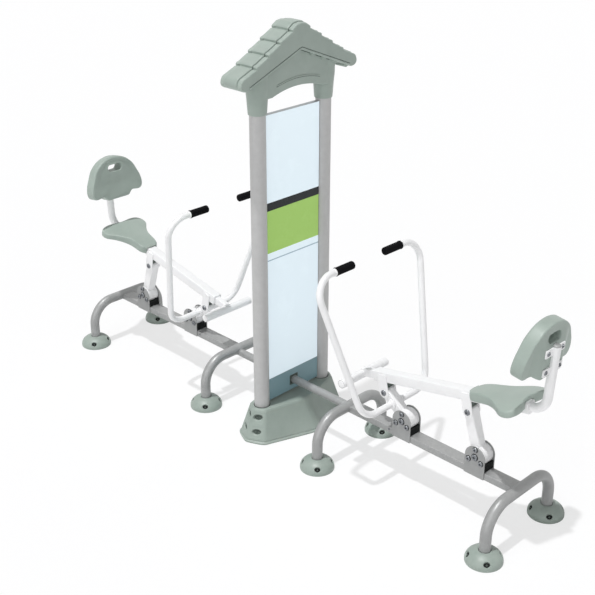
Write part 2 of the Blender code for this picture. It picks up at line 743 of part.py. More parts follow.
def footrest_solid(grow=0.0):
    x, z = on_bar(-FOOTREST_REACH, BAR_OFFSET - FOOTREST_DROP)
    return rod((x, 0, z), 2 * FOOTREST_HALF, FOOTREST_RADIUS + grow, TUBE_SIDES)


def seat_bar_solid(grow=0.0):
    half = BAR_HEIGHT / 2 + grow
    front = NECK_LENGTH - FOOTREST_REACH
    return bar_box(front, BAR_REAR, BAR_OFFSET - half, BAR_OFFSET + half, BAR_WIDTH / 2 + grow)


def build_seat_bar(stations, finish):
    low = BAR_OFFSET - BAR_HEIGHT / 2 + NECK_INSET
    end = NECK_LENGTH - FOOTREST_REACH + WELD_OVERLAP
    neck = bar_box(-FOOTREST_REACH, end, low, low + NECK_HEIGHT, NECK_WIDTH / 2)
    bm = cut(join(seat_bar_solid(), neck), footrest_solid(SEAT_GAP))
    inner = BAR_WIDTH / 2 - WELD_OVERLAP
    outer = BAR_WIDTH / 2 + LUG_THICKNESS
    for along in (0, COUPLER):
        bm = join(bm, lug_plate(along, -outer, -inner), lug_plate(along, inner, outer))
        x, z = on_bar(along, 0)
        bm = cut(bm, rod((x, 0, z), BAR_WIDTH + 2 * CUT_OVERRUN, PIVOT_BOLT_RADIUS + SEAT_GAP))
    place("seat_bar", longest_piece(bm), finish, stations, BAR_ORIGIN)


def build_footrest(stations, finish):
    place("footrest", footrest_solid(), finish, stations, BAR_ORIGIN)


def build_pivot_bolts(stations, finish):
    reach = BAR_WIDTH / 2 + LUG_THICKNESS + SEAT_GAP
    for name, pivot in (("pivot_bolt_front", FRONT_PIVOT), ("pivot_bolt_rear", REAR_PIVOT)):
        bm = headed_pin((pivot[0], 0, pivot[1]), reach, PIVOT_BOLT_RADIUS, PIVOT_HEAD_RADIUS, PIVOT_HEAD_HEIGHT)
        place(name, bm, finish, stations, BAR_ORIGIN)


def back_tube_solid(grow=0.0, lift=0.0):
    start = on_bar(BAR_REAR + SEAT_GAP, BAR_OFFSET)
    corner = on_back(0, 0)
    top = on_back(0, BACK_TUBE_RISE + lift)
    path = fillet([(start[0], 0, start[1]), (corner[0], 0, corner[1]), (top[0], 0, top[1])], [BACK_TUBE_BEND])
    return tube(path, BACK_TUBE_RADIUS + grow)


def build_back_tube(stations, finish):
    plug = [(BACK_TUBE_RADIUS - WELD_OVERLAP, -WELD_OVERLAP),
            (BACK_TUBE_RADIUS * PLUG_RADIUS_SHARE, PLUG_RISE * PLUG_SHOULDER_SHARE),
            (BACK_TUBE_RADIUS * PLUG_TIP_SHARE, PLUG_RISE)]
    axis = Vector((math.sin(BACK_RECLINE), 0, math.cos(BACK_RECLINE)))
    top = on_back(0, BACK_TUBE_RISE)
    bm = join(back_tube_solid(), turned(plug, (top[0], 0, top[1]), axis, TUBE_SIDES))
    for rise in (STRAP_LOW_RISE, STRAP_HIGH_RISE):
        low = rise - STRAP_HEIGHT / 2
        high = rise + STRAP_HEIGHT / 2
        corners = [on_back(0, low), on_back(0, high), on_back(STRAP_THICKNESS, high), on_back(STRAP_THICKNESS, low)]
        bm = join(bm, plate(corners, -STRAP_HALF, STRAP_HALF))
    place("back_tube", bm, finish, stations, BAR_ORIGIN)


def panel_levels():
    """How far ahead of the panel's rear plane each of its outlines lies, and how far it is drawn in."""
    rear = [(BACKREST_EDGE * depth, BACKREST_EDGE * inset) for depth, inset in BACKREST_EDGE_SHARES]
    return rear + [(BACKREST_THICKNESS - ahead, inset) for ahead, inset in reversed(rear)]


def boss_solid():
    """The block behind the panel that the straps bolt to, straight across the back tube."""
    face = STRAP_THICKNESS + SEAT_GAP
    low = BACKREST_LOW_RISE + BOSS_FOOT
    high = STRAP_HIGH_RISE + STRAP_HEIGHT / 2 + BOSS_HEAD
    corners = [on_back(face, low), on_back(face, high), on_panel(BACKREST_EDGE, high), on_panel(BACKREST_EDGE, low)]
    half = STRAP_HALF + BOSS_MARGIN
    return plate(corners, -half, half)


def slot_cutter():
    """The handhold: a slot with round ends, cut through square to the panel."""
    straight = SLOT_HALF - SLOT_RADIUS
    right = arc((straight, SLOT_RISE), SLOT_RADIUS, -90, 90, 2 * ROUND_STEPS)
    left = arc((-straight, SLOT_RISE), SLOT_RADIUS, 90, 270, 2 * ROUND_STEPS)
    bm = bmesh.new()
    rings = []
    for ahead in (-CUT_OVERRUN, BACKREST_THICKNESS + CUT_OVERRUN):
        points = [(on_panel(ahead, rise), y) for y, rise in right + left]
        rings.append([bm.verts.new((x, y, z)) for (x, z), y in points])
    skin(bm, rings)
    return bm


def build_backrest(stations, finish):
    outline = mirrored(BACKREST_SIDE_SHARES)
    bm = bmesh.new()
    rings = []
    for ahead, inset in panel_levels():
        half = BACKREST_HALF - inset
        height = BACKREST_HEIGHT - 2 * inset
        points = [(on_panel(ahead, BACKREST_LOW_RISE + inset + height * tall), half * wide) for wide, tall in outline]
        rings.append([bm.verts.new((x, y, z)) for (x, z), y in points])
    skin(bm, rings)
    bm = cut(join(bm, boss_solid()), slot_cutter(), back_tube_solid(BOSS_TUBE_GAP, PLUG_RISE))
    place("backrest", bm, finish, stations, BAR_ORIGIN)


def seat_top(along, out):
    """Height over the bar's centre line: a crown that falls away to the sides and the nose."""
    sideways = out / SEAT_HALF
    forward = max(0, -along / SEAT_NOSE_REACH)
    return SEAT_CROWN - SEAT_DROOP * sideways ** 2 - SEAT_NOSE_FALL * forward ** 3


def seat_under(along):
    return SEAT_SKIRT - SEAT_SKIRT_FALL * max(0, -along / SEAT_NOSE_REACH)


def seat_ring(bm, outline, share, height_at):
    points = []
    for along, out in outline:
        x, z = on_bar(SEAT_CENTRE + along * share, BAR_OFFSET + height_at(along * share, out * share))
        points.append(bm.verts.new((x, out * share, z)))
    return points


def build_seat(stations, finish):
    side = [(SEAT_HALF * out, -SEAT_NOSE_REACH * along) for along, out in SEAT_NOSE_SHARES]
    side += [(SEAT_HALF * out, SEAT_TAIL_REACH * along) for along, out in SEAT_TAIL_SHARES]
    outline = [(along, out) for out, along in mirrored(side)]
    bm = bmesh.new()
    rings = []
    for share, drop in SEAT_TOP_SHARES:
        rings.append(seat_ring(bm, outline, share, lambda along, out: seat_top(along, out) - drop * SEAT_EDGE))
    for share, lift in SEAT_UNDER_SHARES:
        rings.append(seat_ring(bm, outline, share, lambda along, out: seat_under(along) + lift * SEAT_EDGE))
    skin(bm, rings)
    bmesh.ops.triangulate(bm, faces=[face for face in bm.faces if len(face.verts) > 4])
    lug_room = bar_box(SEAT_CENTRE - SEAT_NOSE_REACH - CUT_OVERRUN, COUPLER + LUG_HALF_LENGTH + SEAT_GAP, 0,
                       BAR_OFFSET + LUG_OVERLAP + SEAT_GAP, BAR_WIDTH / 2 + LUG_THICKNESS + SEAT_GAP)
    place("seat", cut(bm, seat_bar_solid(SEAT_GAP), lug_room), finish, stations, BAR_ORIGIN)


def main():
    clear_scene()
    grey = material("grey_powder_coat", BODY_GREY, 0.45, 0.2)
    white = material("white_powder_coat", MOVING_WHITE, 0.4, 0.0)
    sage = material("sage_plastic", SAGE, 0.6, 0.0)
    black = material("black_grip_rubber", GRIP_BLACK, 0.8, 0.0)
    steel = material("bolt_steel", BOLT_STEEL, 0.35, 0.9)
    board = material("board_face", BOARD_BLUE, 0.5, 0.0)
    stations = [Station("a", 0), Station("b", math.pi)]
    build_plinth(sage)
    build_posts(grey)
    build_board(board)
    build_roof(sage)
    build_arches(stations, grey)
    build_spine(stations, grey)
    build_link_tube(stations, grey)
    build_caps(stations, sage)
    build_brackets(stations, grey)
    build_axles(stations, steel)
    build_levers(stations, white)
    build_handlebar(stations, white, black)
    build_seat_bar(stations, white)
    build_footrest(stations, white)
    build_pivot_bolts(stations, steel)
    build_back_tube(stations, white)
    build_backrest(stations, sage)
    build_seat(stations, sage)
    bpy.context.view_layer.update()


main()
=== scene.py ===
"""Looks of an outdoor rowing machine: two stations, back to back, with a roofed notice board between them.

Metres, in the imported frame's own axes: +Z up, station a towards +X. Every new surface is a numpy grid.
A grid is rows of points, and each row closes on itself. Station b is station a turned half a turn.
"""
import math
from itertools import product

import bmesh
import bpy
import numpy as np
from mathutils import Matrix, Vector


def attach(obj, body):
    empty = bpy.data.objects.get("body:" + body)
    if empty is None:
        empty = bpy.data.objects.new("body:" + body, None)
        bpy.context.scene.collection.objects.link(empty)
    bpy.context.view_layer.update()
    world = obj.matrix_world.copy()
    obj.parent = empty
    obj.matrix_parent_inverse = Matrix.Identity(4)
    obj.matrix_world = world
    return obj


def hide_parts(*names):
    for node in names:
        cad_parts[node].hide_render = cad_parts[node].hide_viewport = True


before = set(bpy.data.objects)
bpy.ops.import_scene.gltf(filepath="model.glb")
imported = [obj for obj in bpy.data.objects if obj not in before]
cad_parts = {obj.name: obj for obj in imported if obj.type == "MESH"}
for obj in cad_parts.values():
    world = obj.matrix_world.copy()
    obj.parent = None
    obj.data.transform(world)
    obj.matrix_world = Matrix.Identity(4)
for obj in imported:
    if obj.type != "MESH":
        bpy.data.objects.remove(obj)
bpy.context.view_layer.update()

# Lengths are in metres. Places are (x, z), on the roof (y, z), and on a cap (radius, z). A screw or a head is
# its radius and height, a pin its radius and half length, a washer, plate or rim its radius, height and edge,
# and an oval seat its radius and stretch. A fade gives where it starts and where it ends.

# Directions and hands
AHEAD, ACROSS, UP = (1, 0, 0), (0, 1, 0), (0, 0, 1)
SIDES = (-1, 1)
HANDS = (("left", -1), ("right", 1))

# How far a screw's head or an oval seat reaches into what carries it
HEAD_SINK = 0.001

# Posts, plinth and board
POST_RADIUS = 0.0445
POST_SPREAD = 0.248
POST_TOP = 2.150
POST_FOOT = 0.001
POST_EDGE = 0.002
# A thin ring of painted shade where each post enters the plinth
SHADE_RING_GAP = 0.0002
SHADE_RING_EDGE = 0.0005
SHADE_RING_HEIGHT = 0.0015
SHADE_RING_SINK = 0.001
PLINTH_HEIGHT = 0.200
PLINTH_LIP = 0.009
PLINTH_RIM = 0.014
RIM_ROWS_TOP = 0.024
RIM_FLARE = 0.0068
RIM_FLARE_FADE = (0.010, 0.0145)
RIM_CURL = 0.003
RIM_CURL_TOP = 0.004
GROOVE_LEVEL = 0.0165
GROOVE_WIDTH = 0.0022
GROOVE_DEPTH = 0.0025
PLINTH_END = 0.2
PLINTH_BASE_BEND = 0.100
# A quarter of the plinth's outline in x and y, at the ground and at its top
PLINTH_BASE = ((0.216, 0.0), (0.212, 0.030), (0.115, 0.300), (0.104, 0.335), (0.010, 0.378), (0.0, 0.378))
PLINTH_TOP = ((0.132, 0.0), (0.129, 0.030), (0.072, 0.256), (0.064, 0.283), (0.008, 0.318), (0.0, 0.318))
PLINTH_HOLES = ((0.036, 0.150), (0.048, 0.066))
HOLE_HALF = (0.0245, 0.0175)
HOLE_DEPTH = 0.015
HOLE_FRAME_HALF = (0.0290, 0.032)
HOLE_FRAME_DEPTH = 0.0016
HOLE_FRAME_FADE = (0.93, 1.03)
HOLE_FACING = (0.43, 0.9, 0.28)
HOLE_SCREW = (0.0080, 0.0045)
HOLE_SEAT = (0.0150, 1.45)
HOLE_SCREW_SINK = 0.0115
COLLAR_INNER = POST_RADIUS + 0.0045
COLLAR_OUTER = POST_RADIUS + 0.0125
COLLAR_DEPTH = 0.004
COLLAR_SLOPE = 0.003
COLLAR_EDGE = 0.0022
COLLAR_SINK = 0.0002
BOARD_HALF = 0.2032
BOARD_LOW = 0.212
BOARD_TOP = 1.939
BOARD_THICK = 0.030
BOARD_CORNER = 0.004
CORE_SINK = 0.0006
CORE_EDGE = 0.0012
SHEET_THICK = 0.0008
SHEET_EDGE = 0.0002
SHEET_MARGIN = 0.0012
BOARD_LAMPS = {"board_front": (0.86, (-1.0, 0.1, -0.1), 30), "board_rear": (1.10, (1.0, 0.1, -0.1), 30)}

# Roof
RIDGE = 2.408
RIDGE_HALF = 0.072
RIDGE_EDGE = 2.380
RIDGE_FALL = 0.0050
RIDGE_SHOULDER = (0.008, 0.0055)
RIDGE_LIP = 0.001
PITCH = math.radians(31.0)
COURSES = 4
COURSE_RUN = 0.085
COURSE_STEP = 0.010
# Ways out and up: of a course's nose from its foot, and of the tile below from the next course's edge
COURSE_NOSE = ((-0.0015, 0.001), (-0.0025, -0.0040), (0.0025, -0.0045), (0.0055, -0.0025))
COURSE_TILE = ((-0.030, 0.013), (-0.006, 0.0038), (0, -0.001))
TILE_EDGE = 0.0022
ROOF_HALF_DEPTH = 0.080
NOSE = (0.396, 2.1473)
NOSE_RADIUS = 0.038
BARGE_APEX = 2.262
BARGE_FOOT = (0.385, 2.109)
RAIL_SINK = 0.0070
RAIL_FADE = (0.03, 0.07)
# Way from the roof's end, how far all is drawn in there, and how far the upper side is sunk
ROOF_END = ((0.0, 0.0070, RAIL_SINK), (0.0006, 0.0042, RAIL_SINK), (0.0020, 0.0020, RAIL_SINK),
            (0.0040, 0.0007, RAIL_SINK), (0.0070, 0, RAIL_SINK), (0.0280, 0, RAIL_SINK), (0.0290, 0, 0.0095),
            (0.0314, 0, 0.0095), (0.0320, 0, 0.0055), (0.0332, 0, 0.0026), (0.0356, 0, 0.0009),
            (0.0400, 0, 0.0003))
# A dark line of painted shade in each groove at the roof's ends
JOINT_PLACE = 0.0302
JOINT_DEPTH = 0.0085
JOINT_RADIUS = 0.0024
JOINT_FOOT = NOSE[1] + 0.034
GABLE_HALF_DEPTH = 0.057
GABLE_SPRING = POST_TOP - 0.113
GABLE_CROWN = POST_TOP - 0.080
GABLE_ARCH_HALF = 0.192
GABLE_HEAD = 2.190
GABLE_APEX = BARGE_APEX + 0.020
GABLE_EDGE = 0.006
RELIEF_HALF = 0.163
RELIEF_END = RELIEF_HALF + 0.0002
RELIEF_POWER = 24
RELIEF_CROWN = 2.118
RELIEF_FALL = 0.024
RELIEF_RADIUS = 0.0042
BARGE_LINE_HALF = 0.372
BARGE_LINE_SINK = 0.0022
BARGE_LINE_RISE = 0.0085
BARGE_LINE_RADIUS = 0.0046
# Thin lines of painted shadow along the barge's raised line, under the arch's, and where the panel meets the
# roof
BARGE_SHADOW_OUT = 0.0016
BARGE_SHADOW_RISE = 0.0148
BARGE_SHADOW_RADIUS = 0.0017
ARCH_SHADOW_DROP = 0.0050
ROOF_SEAM_OUT = 0.0004
ROOF_SEAM_SHARE = 0.66
ROOF_SEAM_DROP = 0.0012
ROOF_SEAM_RADIUS = 0.0022
LINE_POINTS = 60
WAVE_RADIUS = 0.0190
WAVE_INSET = 0.014
WAVE_PLACE = 0.35
WAVE_RISE = 0.0065
SLEEVE_LOW = 1.952
SLEEVE_TOP = 2.180
SLEEVE_GAP = 0.0008
SLEEVE_WALL = 0.0165
SLEEVE_EDGE = 0.0025
SLEEVE_TAPER = 0.090
SLEEVE_SIDE = ((0.0050, 0.0), (0.0062, 0.014), (0.0115, SLEEVE_TAPER))

# Ground frame of a station
FRONT_ARCH = 0.480
REAR_ARCH = 1.639
ARCHES = (("front", FRONT_ARCH), ("rear", REAR_ARCH))
FOOT = 0.275
LEG = 0.030
LEG_START = 0.006
FOOT_PLATE = (0.070, 0.008, 0.001)
ARCH_TOP = 0.295
ARCH_BEND = 0.150
SPINE_TOP = 0.308
SPINE_FOOT = SPINE_TOP - 0.040
SPINE_HALF = 0.040
SPINE_CORNER = 0.005
SPINE_EDGE = 0.0005
SPINE_WELD_CORNER = 0.006
SPINE_SCREW_PLACE = (0.800, 0.292)
SPINE_SCREW = (0.0060, 0.0032)
LINK_LEVEL = 0.278
LINK_START = 0.0155
LINK = 0.0235
LINK_OVERLAP = 0.002
# A square plate and a thin ring at the link tube's end on the board, in the painted shade finish
LINK_PLATE_HALF = 0.033
LINK_PLATE_CORNER = 0.005
LINK_PLATE_ENDS = (0.0152, 0.0170)
LINK_SHADE_RING_WALL = 0.004
LINK_SHADE_RING_ENDS = (0.0168, 0.0190)
LINK_EDGE = 0.0006
LINK_WELD_SHARE = 1.02
FRAME_WELD = 0.0026
CAP = 0.098
CAP_HEIGHT = 0.068
CAP_EDGE = 0.010
CAP_NECK = 0.0345
CAP_WELL_HALF = (0.0170, 0.0110)
CAP_WELL_LEVEL = 0.037
CAP_WELL_DEPTH = 0.013
CAP_WELL_FALL = 0.35
# Way in from the cap's radius with the height, and the bore's radius with the way down from the top
CAP_RIM = ((0.002, 0.0), (0.0003, 0.0008), (0.0, 0.004))
CAP_BORE = ((0.0330, 0.0004), (0.0318, 0.0016), (0.0310, 0.004), (0.0310, 0.012))
CAP_SCREW_PLACE = (0.0880, 0.0365)
CAP_SCREW_RISE = 0.55
CAP_SCREW_SINK = 0.0072
CAP_SCREW = (0.0050, 0.0030)
CAP_SEAT = (0.0108, 1.50)
# A thin ring of painted shade round each leg where it enters its cap
CAP_SHADE_RING_INNER = LEG + 0.0001
CAP_SHADE_RING_OUTER = LEG + 0.0016
CAP_SHADE_RING_HEIGHT = 0.0012
CAP_SHADE_RING_EDGE = 0.0003
CAP_SHADE_RING_SINK = 0.006

# Bearings and levers
FRONT_AXLE = (0.889, 0.381)
REAR_AXLE = (1.380, 0.381)
BRACKET = 0.063
BRACKET_INNER = SPINE_HALF + 0.0003
BRACKET_OUTER = SPINE_HALF + 0.0053
BRACKET_WAIST = 0.01
BRACKET_CORNER = 0.003
BRACKET_EDGE = 0.0012
BOLT_CIRCLE = 0.045
BOLT = (0.0145, 0.0085)
WASHER = (0.0165, 0.0012, 0.0004)
AXLE_WASHER = (0.0208, 0.0012, 0.0004)
AXLE_PIN = (0.0125, 0.0460)
AXLE_HEAD = (0.0185, 0.0080)
# A dark block of painted shade between the bearing plates, under each hub
SHADE_BLOCK_HALF = 0.0605
SHADE_BLOCK_TOP = 0.3500
SHADE_BLOCK_HOLLOW = 0.0585
SHADE_BLOCK_LOW = SPINE_TOP + 0.0003
SHADE_BLOCK_SIDE = SPINE_HALF - 0.0004
SHADE_BLOCK_EDGE = 0.0008
HUB = 0.056
HUB_BORE = 0.0135
HUB_SIDE = SPINE_HALF - 0.0008
HUB_EDGE = 0.0025
LEVER_END = 0.028
LEVER_HALF = 0.0288
LEVER_EDGE = 0.0035
FRONT_PIVOT = (0.749580, 0.497987)
REAR_PIVOT = (1.306327, 0.614661)

# Handlebar
HANDLE_FOOT = (0.8063, 0.4504)
HANDLE_HEAD = (0.5803, 1.2384)
HANDLE_FOOT_HALF = 0.263
HANDLE_HALF = 0.422
HANDLE_BENDS = (0.110, 0.120, 0.120, 0.110)
HANDLE_TUBE = 0.0185
HANDLE_BORE = 0.0183
HANDLE_COLLAR = 0.0348
HANDLE_COLLAR_RADIUS = 0.028
HANDLE_COLLAR_HALF = 0.005
HANDLE_COLLAR_EDGE = 0.0022
HANDLE_WELD = 0.0022
HANDLE_WELD_REACH = 0.0195
HANDLE_WELD_OUT = 0.0054
FLARE_RADIUS = 0.0218
FLARE_HALF = 0.004
FLARE_FLAT = 0.0025
FLARE_EDGE = 0.0015
FLARE_PLACE = 0.1325
GRIP_INNER = 0.131
GRIP_LENGTH = 0.133
GRIP_RADIUS = 0.0224
GRIP_BORE = 0.0186
GRIP_SHIFT = 0.0043
GRIP_TIP = ((0.0214, 0.0008), (GRIP_RADIUS, 0.0036))
GRIP_NECK = ((0.0238, 0.1250), (0.0244, 0.1275), (0.0240, 0.1300), (0.0222, 0.1322))
RIB_PITCH = 0.006
RIB_DEPTH = 0.0007
RIB_SPAN = (0.012, 0.126)

# Seat bar and footrest, measured along the bar from its front pivot and above its pivot line
COUPLER = 0.568841
BAR_ANGLE = 0.2065731
BAR_OFFSET = 0.091
BAR_HALF = 0.030
BAR_REAR = 0.943
BAR_CORNER = 0.0065
BAR_EDGE = 0.0022
LUG = 0.030
LUG_INNER = 0.0297
LUG_OUTER = 0.036
LUG_TOP = BAR_OFFSET + 0.015
LUG_ROUND = 0.02
LUG_CORNER = 0.006
LUG_EDGE = 0.0014
# Blocks of painted shade between the lugs, under the bar
GAP_BLOCK_LOW = 0.0320
GAP_BLOCK_TOP = BAR_OFFSET - BAR_HALF - 0.0002
GAP_BLOCK_SIDE = LUG_INNER - 0.0004
GAP_BLOCK_EDGE = 0.0006
GAP_BLOCK_CORNER = 0.002
PIVOT_PIN = (0.008, 0.037)
PIVOT_HEAD = (0.0168, 0.0070)
PIVOT_HEAD_GAP = 0.0002
FOOTREST = -0.167
FOOTREST_DROP = 0.013
FOOTREST_HALF = 0.1845
FOOTREST_RADIUS = 0.025
FOOTREST_EDGE = 0.0012
FOOTREST_PLUG = ((0, 0), (0.0215, 0), (0.0215, 0.0012), (0.012, 0.0030), (0, 0.0032))
FOOTREST_PLUG_EDGE = 0.0010
FOOTREST_PLUG_SINK = 0.0007
FOOTREST_RIM = (0.0232, 0.0011, 0.0003)
NECK_LENGTH = 0.100
NECK_HALF = 0.018
NECK_DEPTH = 0.046
NECK_LOW = BAR_OFFSET - BAR_HALF + 0.004
NECK_CORNER = 0.004
NECK_EDGE = 0.0005
NECK_OVERLAP = 0.001
NECK_WELD = 0.0022
NECK_WELD_START = 0.0255
NECK_WELD_HALF = 0.0225
NECK_WELD_CURVE = 0.001
NECK_WELD_OUT = 0.0005

# Seat and backrest
SEAT_CENTRE = 0.828
SEAT_HALF = 0.168
SEAT_NOSE_REACH = 0.232
SEAT_TAIL_REACH = 0.115
# Shares of the reach forward or back with shares of the half width, on half of the seat's outline
SEAT_NOSE = ((1.00, 0.00), (0.99, 0.20), (0.93, 0.34), (0.80, 0.40), (0.62, 0.41), (0.44, 0.45), (0.26, 0.55),
             (0.08, 0.71))
SEAT_TAIL = ((0.10, 0.86), (0.34, 0.97), (0.58, 1.00), (0.82, 0.97), (0.98, 0.86), (1.03, 0.67), (0.98, 0.42),
             (0.90, 0.20), (0.86, 0.00))
SEAT_CROWN = 0.056
SEAT_TURN = 0.94
SEAT_EDGE = 0.008
SEAT_CORNER = 0.030
SEAT_SIDE_FALL = 0.022
SEAT_NOSE_FALL = 0.020
SEAT_DIP = 0.007
SEAT_DIP_PLACE = -0.02
SEAT_DIP_REACH = 0.075
SEAT_BAY_FADE = (0.0368, 0.0400)
SEAT_BAY_GAPS = (0.0006, 0.0055, 0.0065)
SEAT_UNDER = 0.004
SEAT_UNDER_FALL = 0.013
SEAT_WALL = 0.036
SEAT_BULGE = 0.008
# How far down the skirt, and then shares of the way out with shares of the wall's height
SEAT_SKIRT_ROWS = (0.15, 0.4, 0.65, 0.9)
SEAT_UNDER_ROWS = ((0.99, 0.03), (0.975, 0.0), (0.945, 0.0), (0.935, 0.3), (0.90, 0.3), (0.6, 0.3),
                   (0.3, 0.3), (0.0, 0.3))
BACK_RECLINE = math.radians(3.0)
PANEL_RECLINE = math.radians(8.5)
BACK_TUBE = 0.024
BACK_BEND = 0.090
BACK_RUN = 0.080
BACK_TUBE_TOP = 0.355
BACK_TUBE_START = BAR_REAR + 0.0003
BACK_TUBE_GAP = 0.0002
BACK_PLUG_EDGE = 0.003
BACK_PLUG = ((0, -0.002), (0.0225, -0.002), (0.0225, 0.0018), (0.0190, 0.0075), (0.010, 0.0112), (0, 0.0118))
PANEL_GAP = 0.0068
PANEL_HALF = 0.204
PANEL_LOW = 0.192
PANEL_HEIGHT = 0.280
PANEL_THICK = 0.072
PANEL_CORNER = 0.026
PANEL_DISH = 0.0050
# Shares of the half width and of the height, down one side of the backrest from its head
PANEL_SIDE = ((0.00, 1.00), (0.14, 0.99), (0.31, 0.963), (0.495, 0.902), (0.675, 0.792), (0.775, 0.70),
              (0.884, 0.522), (0.949, 0.432), (1.00, 0.27), (0.985, 0.17), (0.93, 0.105), (0.82, 0.084),
              (0.70, 0.098), (0.565, 0.112), (0.47, 0.055), (0.42, 0.004), (0.34, 0.00), (0.00, 0.00))
PANEL_LIP = 0.006
PANEL_RIM = 0.014
PANEL_BACK = 0.008
SWELL_SIDE_FADE = (0.080, 0.150)
SWELL_HEAD_FADE = (0.350, 0.462)
SWELL_FOOT_FADE = (PANEL_LOW - 0.002, PANEL_LOW + 0.012)
SWELL_DEPTH = 0.0083
SLOT_RISE = 0.398
SLOT_HALF = 0.053
SLOT_RADIUS = 0.022
STRAPS = (0.229, 0.331)
STRAP_HALF = (0.079, 0.020)
STRAP_ENDS = (0.0005, 0.008)
STRAP_CORNER = 0.004
STRAP_EDGE = 0.0012
STRAP_BOLT = 0.058
STRAP_HEAD = (0.0095, 0.0055)
STRAP_WASHER = (0.0125, 0.001, 0.0003)

# Stage: each lamp's strength, direction of fall and angle in degrees
LAMPS = {"key": (2.05, (0.048, 0.204, -1.0), 1.6), "fill": (0.72, (-0.15, 1.0, -0.5), 50),
         "side": (0.22, (-1.0, 0.15, -0.25), 60)}
CAMERA_LENS = 66.45
CAMERA_SENSOR = 36.0
CAMERA_PLACE = (4.087, -4.043, 3.551)
CAMERA_TURN = (64.521, 0, 44.974)
FLOOR_HALF = 60.0


# Grids

def unit(vectors):
    """Each vector divided by its length."""
    return vectors / np.maximum(np.linalg.norm(vectors, axis=-1, keepdims=True), 1e-12)


def smooth(low, high, value):
    """0 below low, 1 above high, and 3s^2 - 2s^3 of the share s between them."""
    share = np.clip((np.asarray(value, float) - low) / (high - low), 0, 1)
    return share * share * (3 - 2 * share)


def turns(count):
    """Angles at equal steps round a full turn, from 0."""
    return 2 * math.pi * np.arange(count) / count


def soften(points, reach, steps=4, closed=False):
    """Each corner becomes a quadratic Bezier curve, from a reach before it to a reach after it."""
    points = np.asarray(points, float)

    def toward(other):
        side = other - points
        length = np.linalg.norm(side, axis=1, keepdims=True)
        return points + side * np.minimum(np.reshape(reach, (-1, 1)) / np.maximum(length, 1e-9), 0.48)

    start = toward(np.roll(points, 1, 0))[:, None]
    stop = toward(np.roll(points, -1, 0))[:, None]
    t = np.linspace(0, 1, steps + 1)[None, :, None]
    curve = (1 - t) ** 2 * start + 2 * t * (1 - t) * points[:, None] + t * t * stop
    if closed:
        return curve.reshape(-1, points.shape[1])
    return np.vstack([points[:1], curve[1:-1].reshape(-1, points.shape[1]), points[-1:]])


def spread(points, count, closed=True):
    """Points at equal steps of length along a polyline."""
    line = np.vstack([points, points[:1]]) if closed else np.asarray(points, float)
    length = np.concatenate([[0], np.cumsum(np.linalg.norm(np.diff(line, axis=0), axis=1))])
    at = np.linspace(0, length[-1], count + 1)[:-1] if closed else np.linspace(0, length[-1], count)
    return np.stack([np.interp(at, length, line[:, axis]) for axis in range(line.shape[1])], 1)


def mirrored(side):
    """A whole closed outline from its half, which starts and ends on the middle line."""
    side = np.asarray(side, float)
    back = side[::-1][side[::-1, 0] > 1e-9]
    return np.vstack([side, back * (-1, 1)])


def inset(outline, distance):
    """A closed outline moved inwards by a distance, along the normal of the chord between its neighbours."""
    tangent = unit(np.roll(outline, -1, 0) - np.roll(outline, 1, 0))
    normal = np.stack([-tangent[:, 1], tangent[:, 0]], 1)
    following = np.roll(outline, -1, 0)
    area = np.sum(outline[:, 0] * following[:, 1] - following[:, 0] * outline[:, 1])
    return outline + normal * math.copysign(1, area) * np.reshape(distance, (-1, 1))


def slab(outline, low, high, edge, space, steps=3):
    """An outline carried from low to high. Each end draws in by edge (1 - sin a), at edge (1 - cos a)."""
    turn = np.linspace(0, math.pi / 2, steps + 1)
    drawn = edge * (1 - np.sin(turn))
    come = edge * (1 - np.cos(turn))
    levels = np.concatenate([low + come, high - come[::-1]])
    rows = [np.column_stack([inset(outline, d), np.full(len(outline), level)])
            for d, level in zip(np.concatenate([drawn, drawn[::-1]]), levels)]
    return space(np.stack(rows))


def rectangle(low, high, radius, steps=5):
    """A rectangle with round corners, as a closed outline."""
    corners = [(low[0], low[1]), (high[0], low[1]), (high[0], high[1]), (low[0], high[1])]
    return soften(corners, radius, steps, closed=True)


def arc(centre, radius, start, stop, count):
    """Points of a circle between two angles in degrees."""
    angle = np.radians(np.linspace(start, stop, count))
    return np.stack([centre[0] + radius * np.cos(angle), centre[1] + radius * np.sin(angle)], 1)


def bent(corners, radii, count=16):
    """Straight runs joined by arcs, whose centres lie radius / sin(half the angle) along the bisectors."""
    corners = np.asarray(corners, float)
    runs = [corners[:1]]
    for here, before, after, radius in zip(corners[1:-1], corners[:-2], corners[2:], radii):
        back, ahead = unit(before - here), unit(after - here)
        half = math.acos(float(np.clip(back @ ahead, -1, 1))) / 2
        centre = here + unit(back + ahead) * radius / math.sin(half)
        start = here + back * radius / math.tan(half) - centre
        stop = here + ahead * radius / math.tan(half) - centre
        turn = math.pi - 2 * half
        t = np.linspace(0, 1, count)[:, None]
        runs.append(centre + (np.sin((1 - t) * turn) * start + np.sin(t * turn) * stop) / math.sin(turn))
    runs.append(corners[-1:])
    return np.vstack(runs)


def sweep(path, radius, normal, sides=40):
    """path(t) + radius(t) (cos a n + sin a (tangent x n)). The path lies in the plane that n is square to."""
    tangent = unit(np.gradient(path, axis=0))
    normal = unit(np.asarray(normal, float))
    other = unit(np.cross(tangent, normal))
    angle = turns(sides)
    radius = np.broadcast_to(radius, len(path))[:, None, None]
    ring = np.cos(angle)[None, :, None] * normal + np.sin(angle)[None, :, None] * other[:, None, :]
    return path[:, None, :] + radius * ring


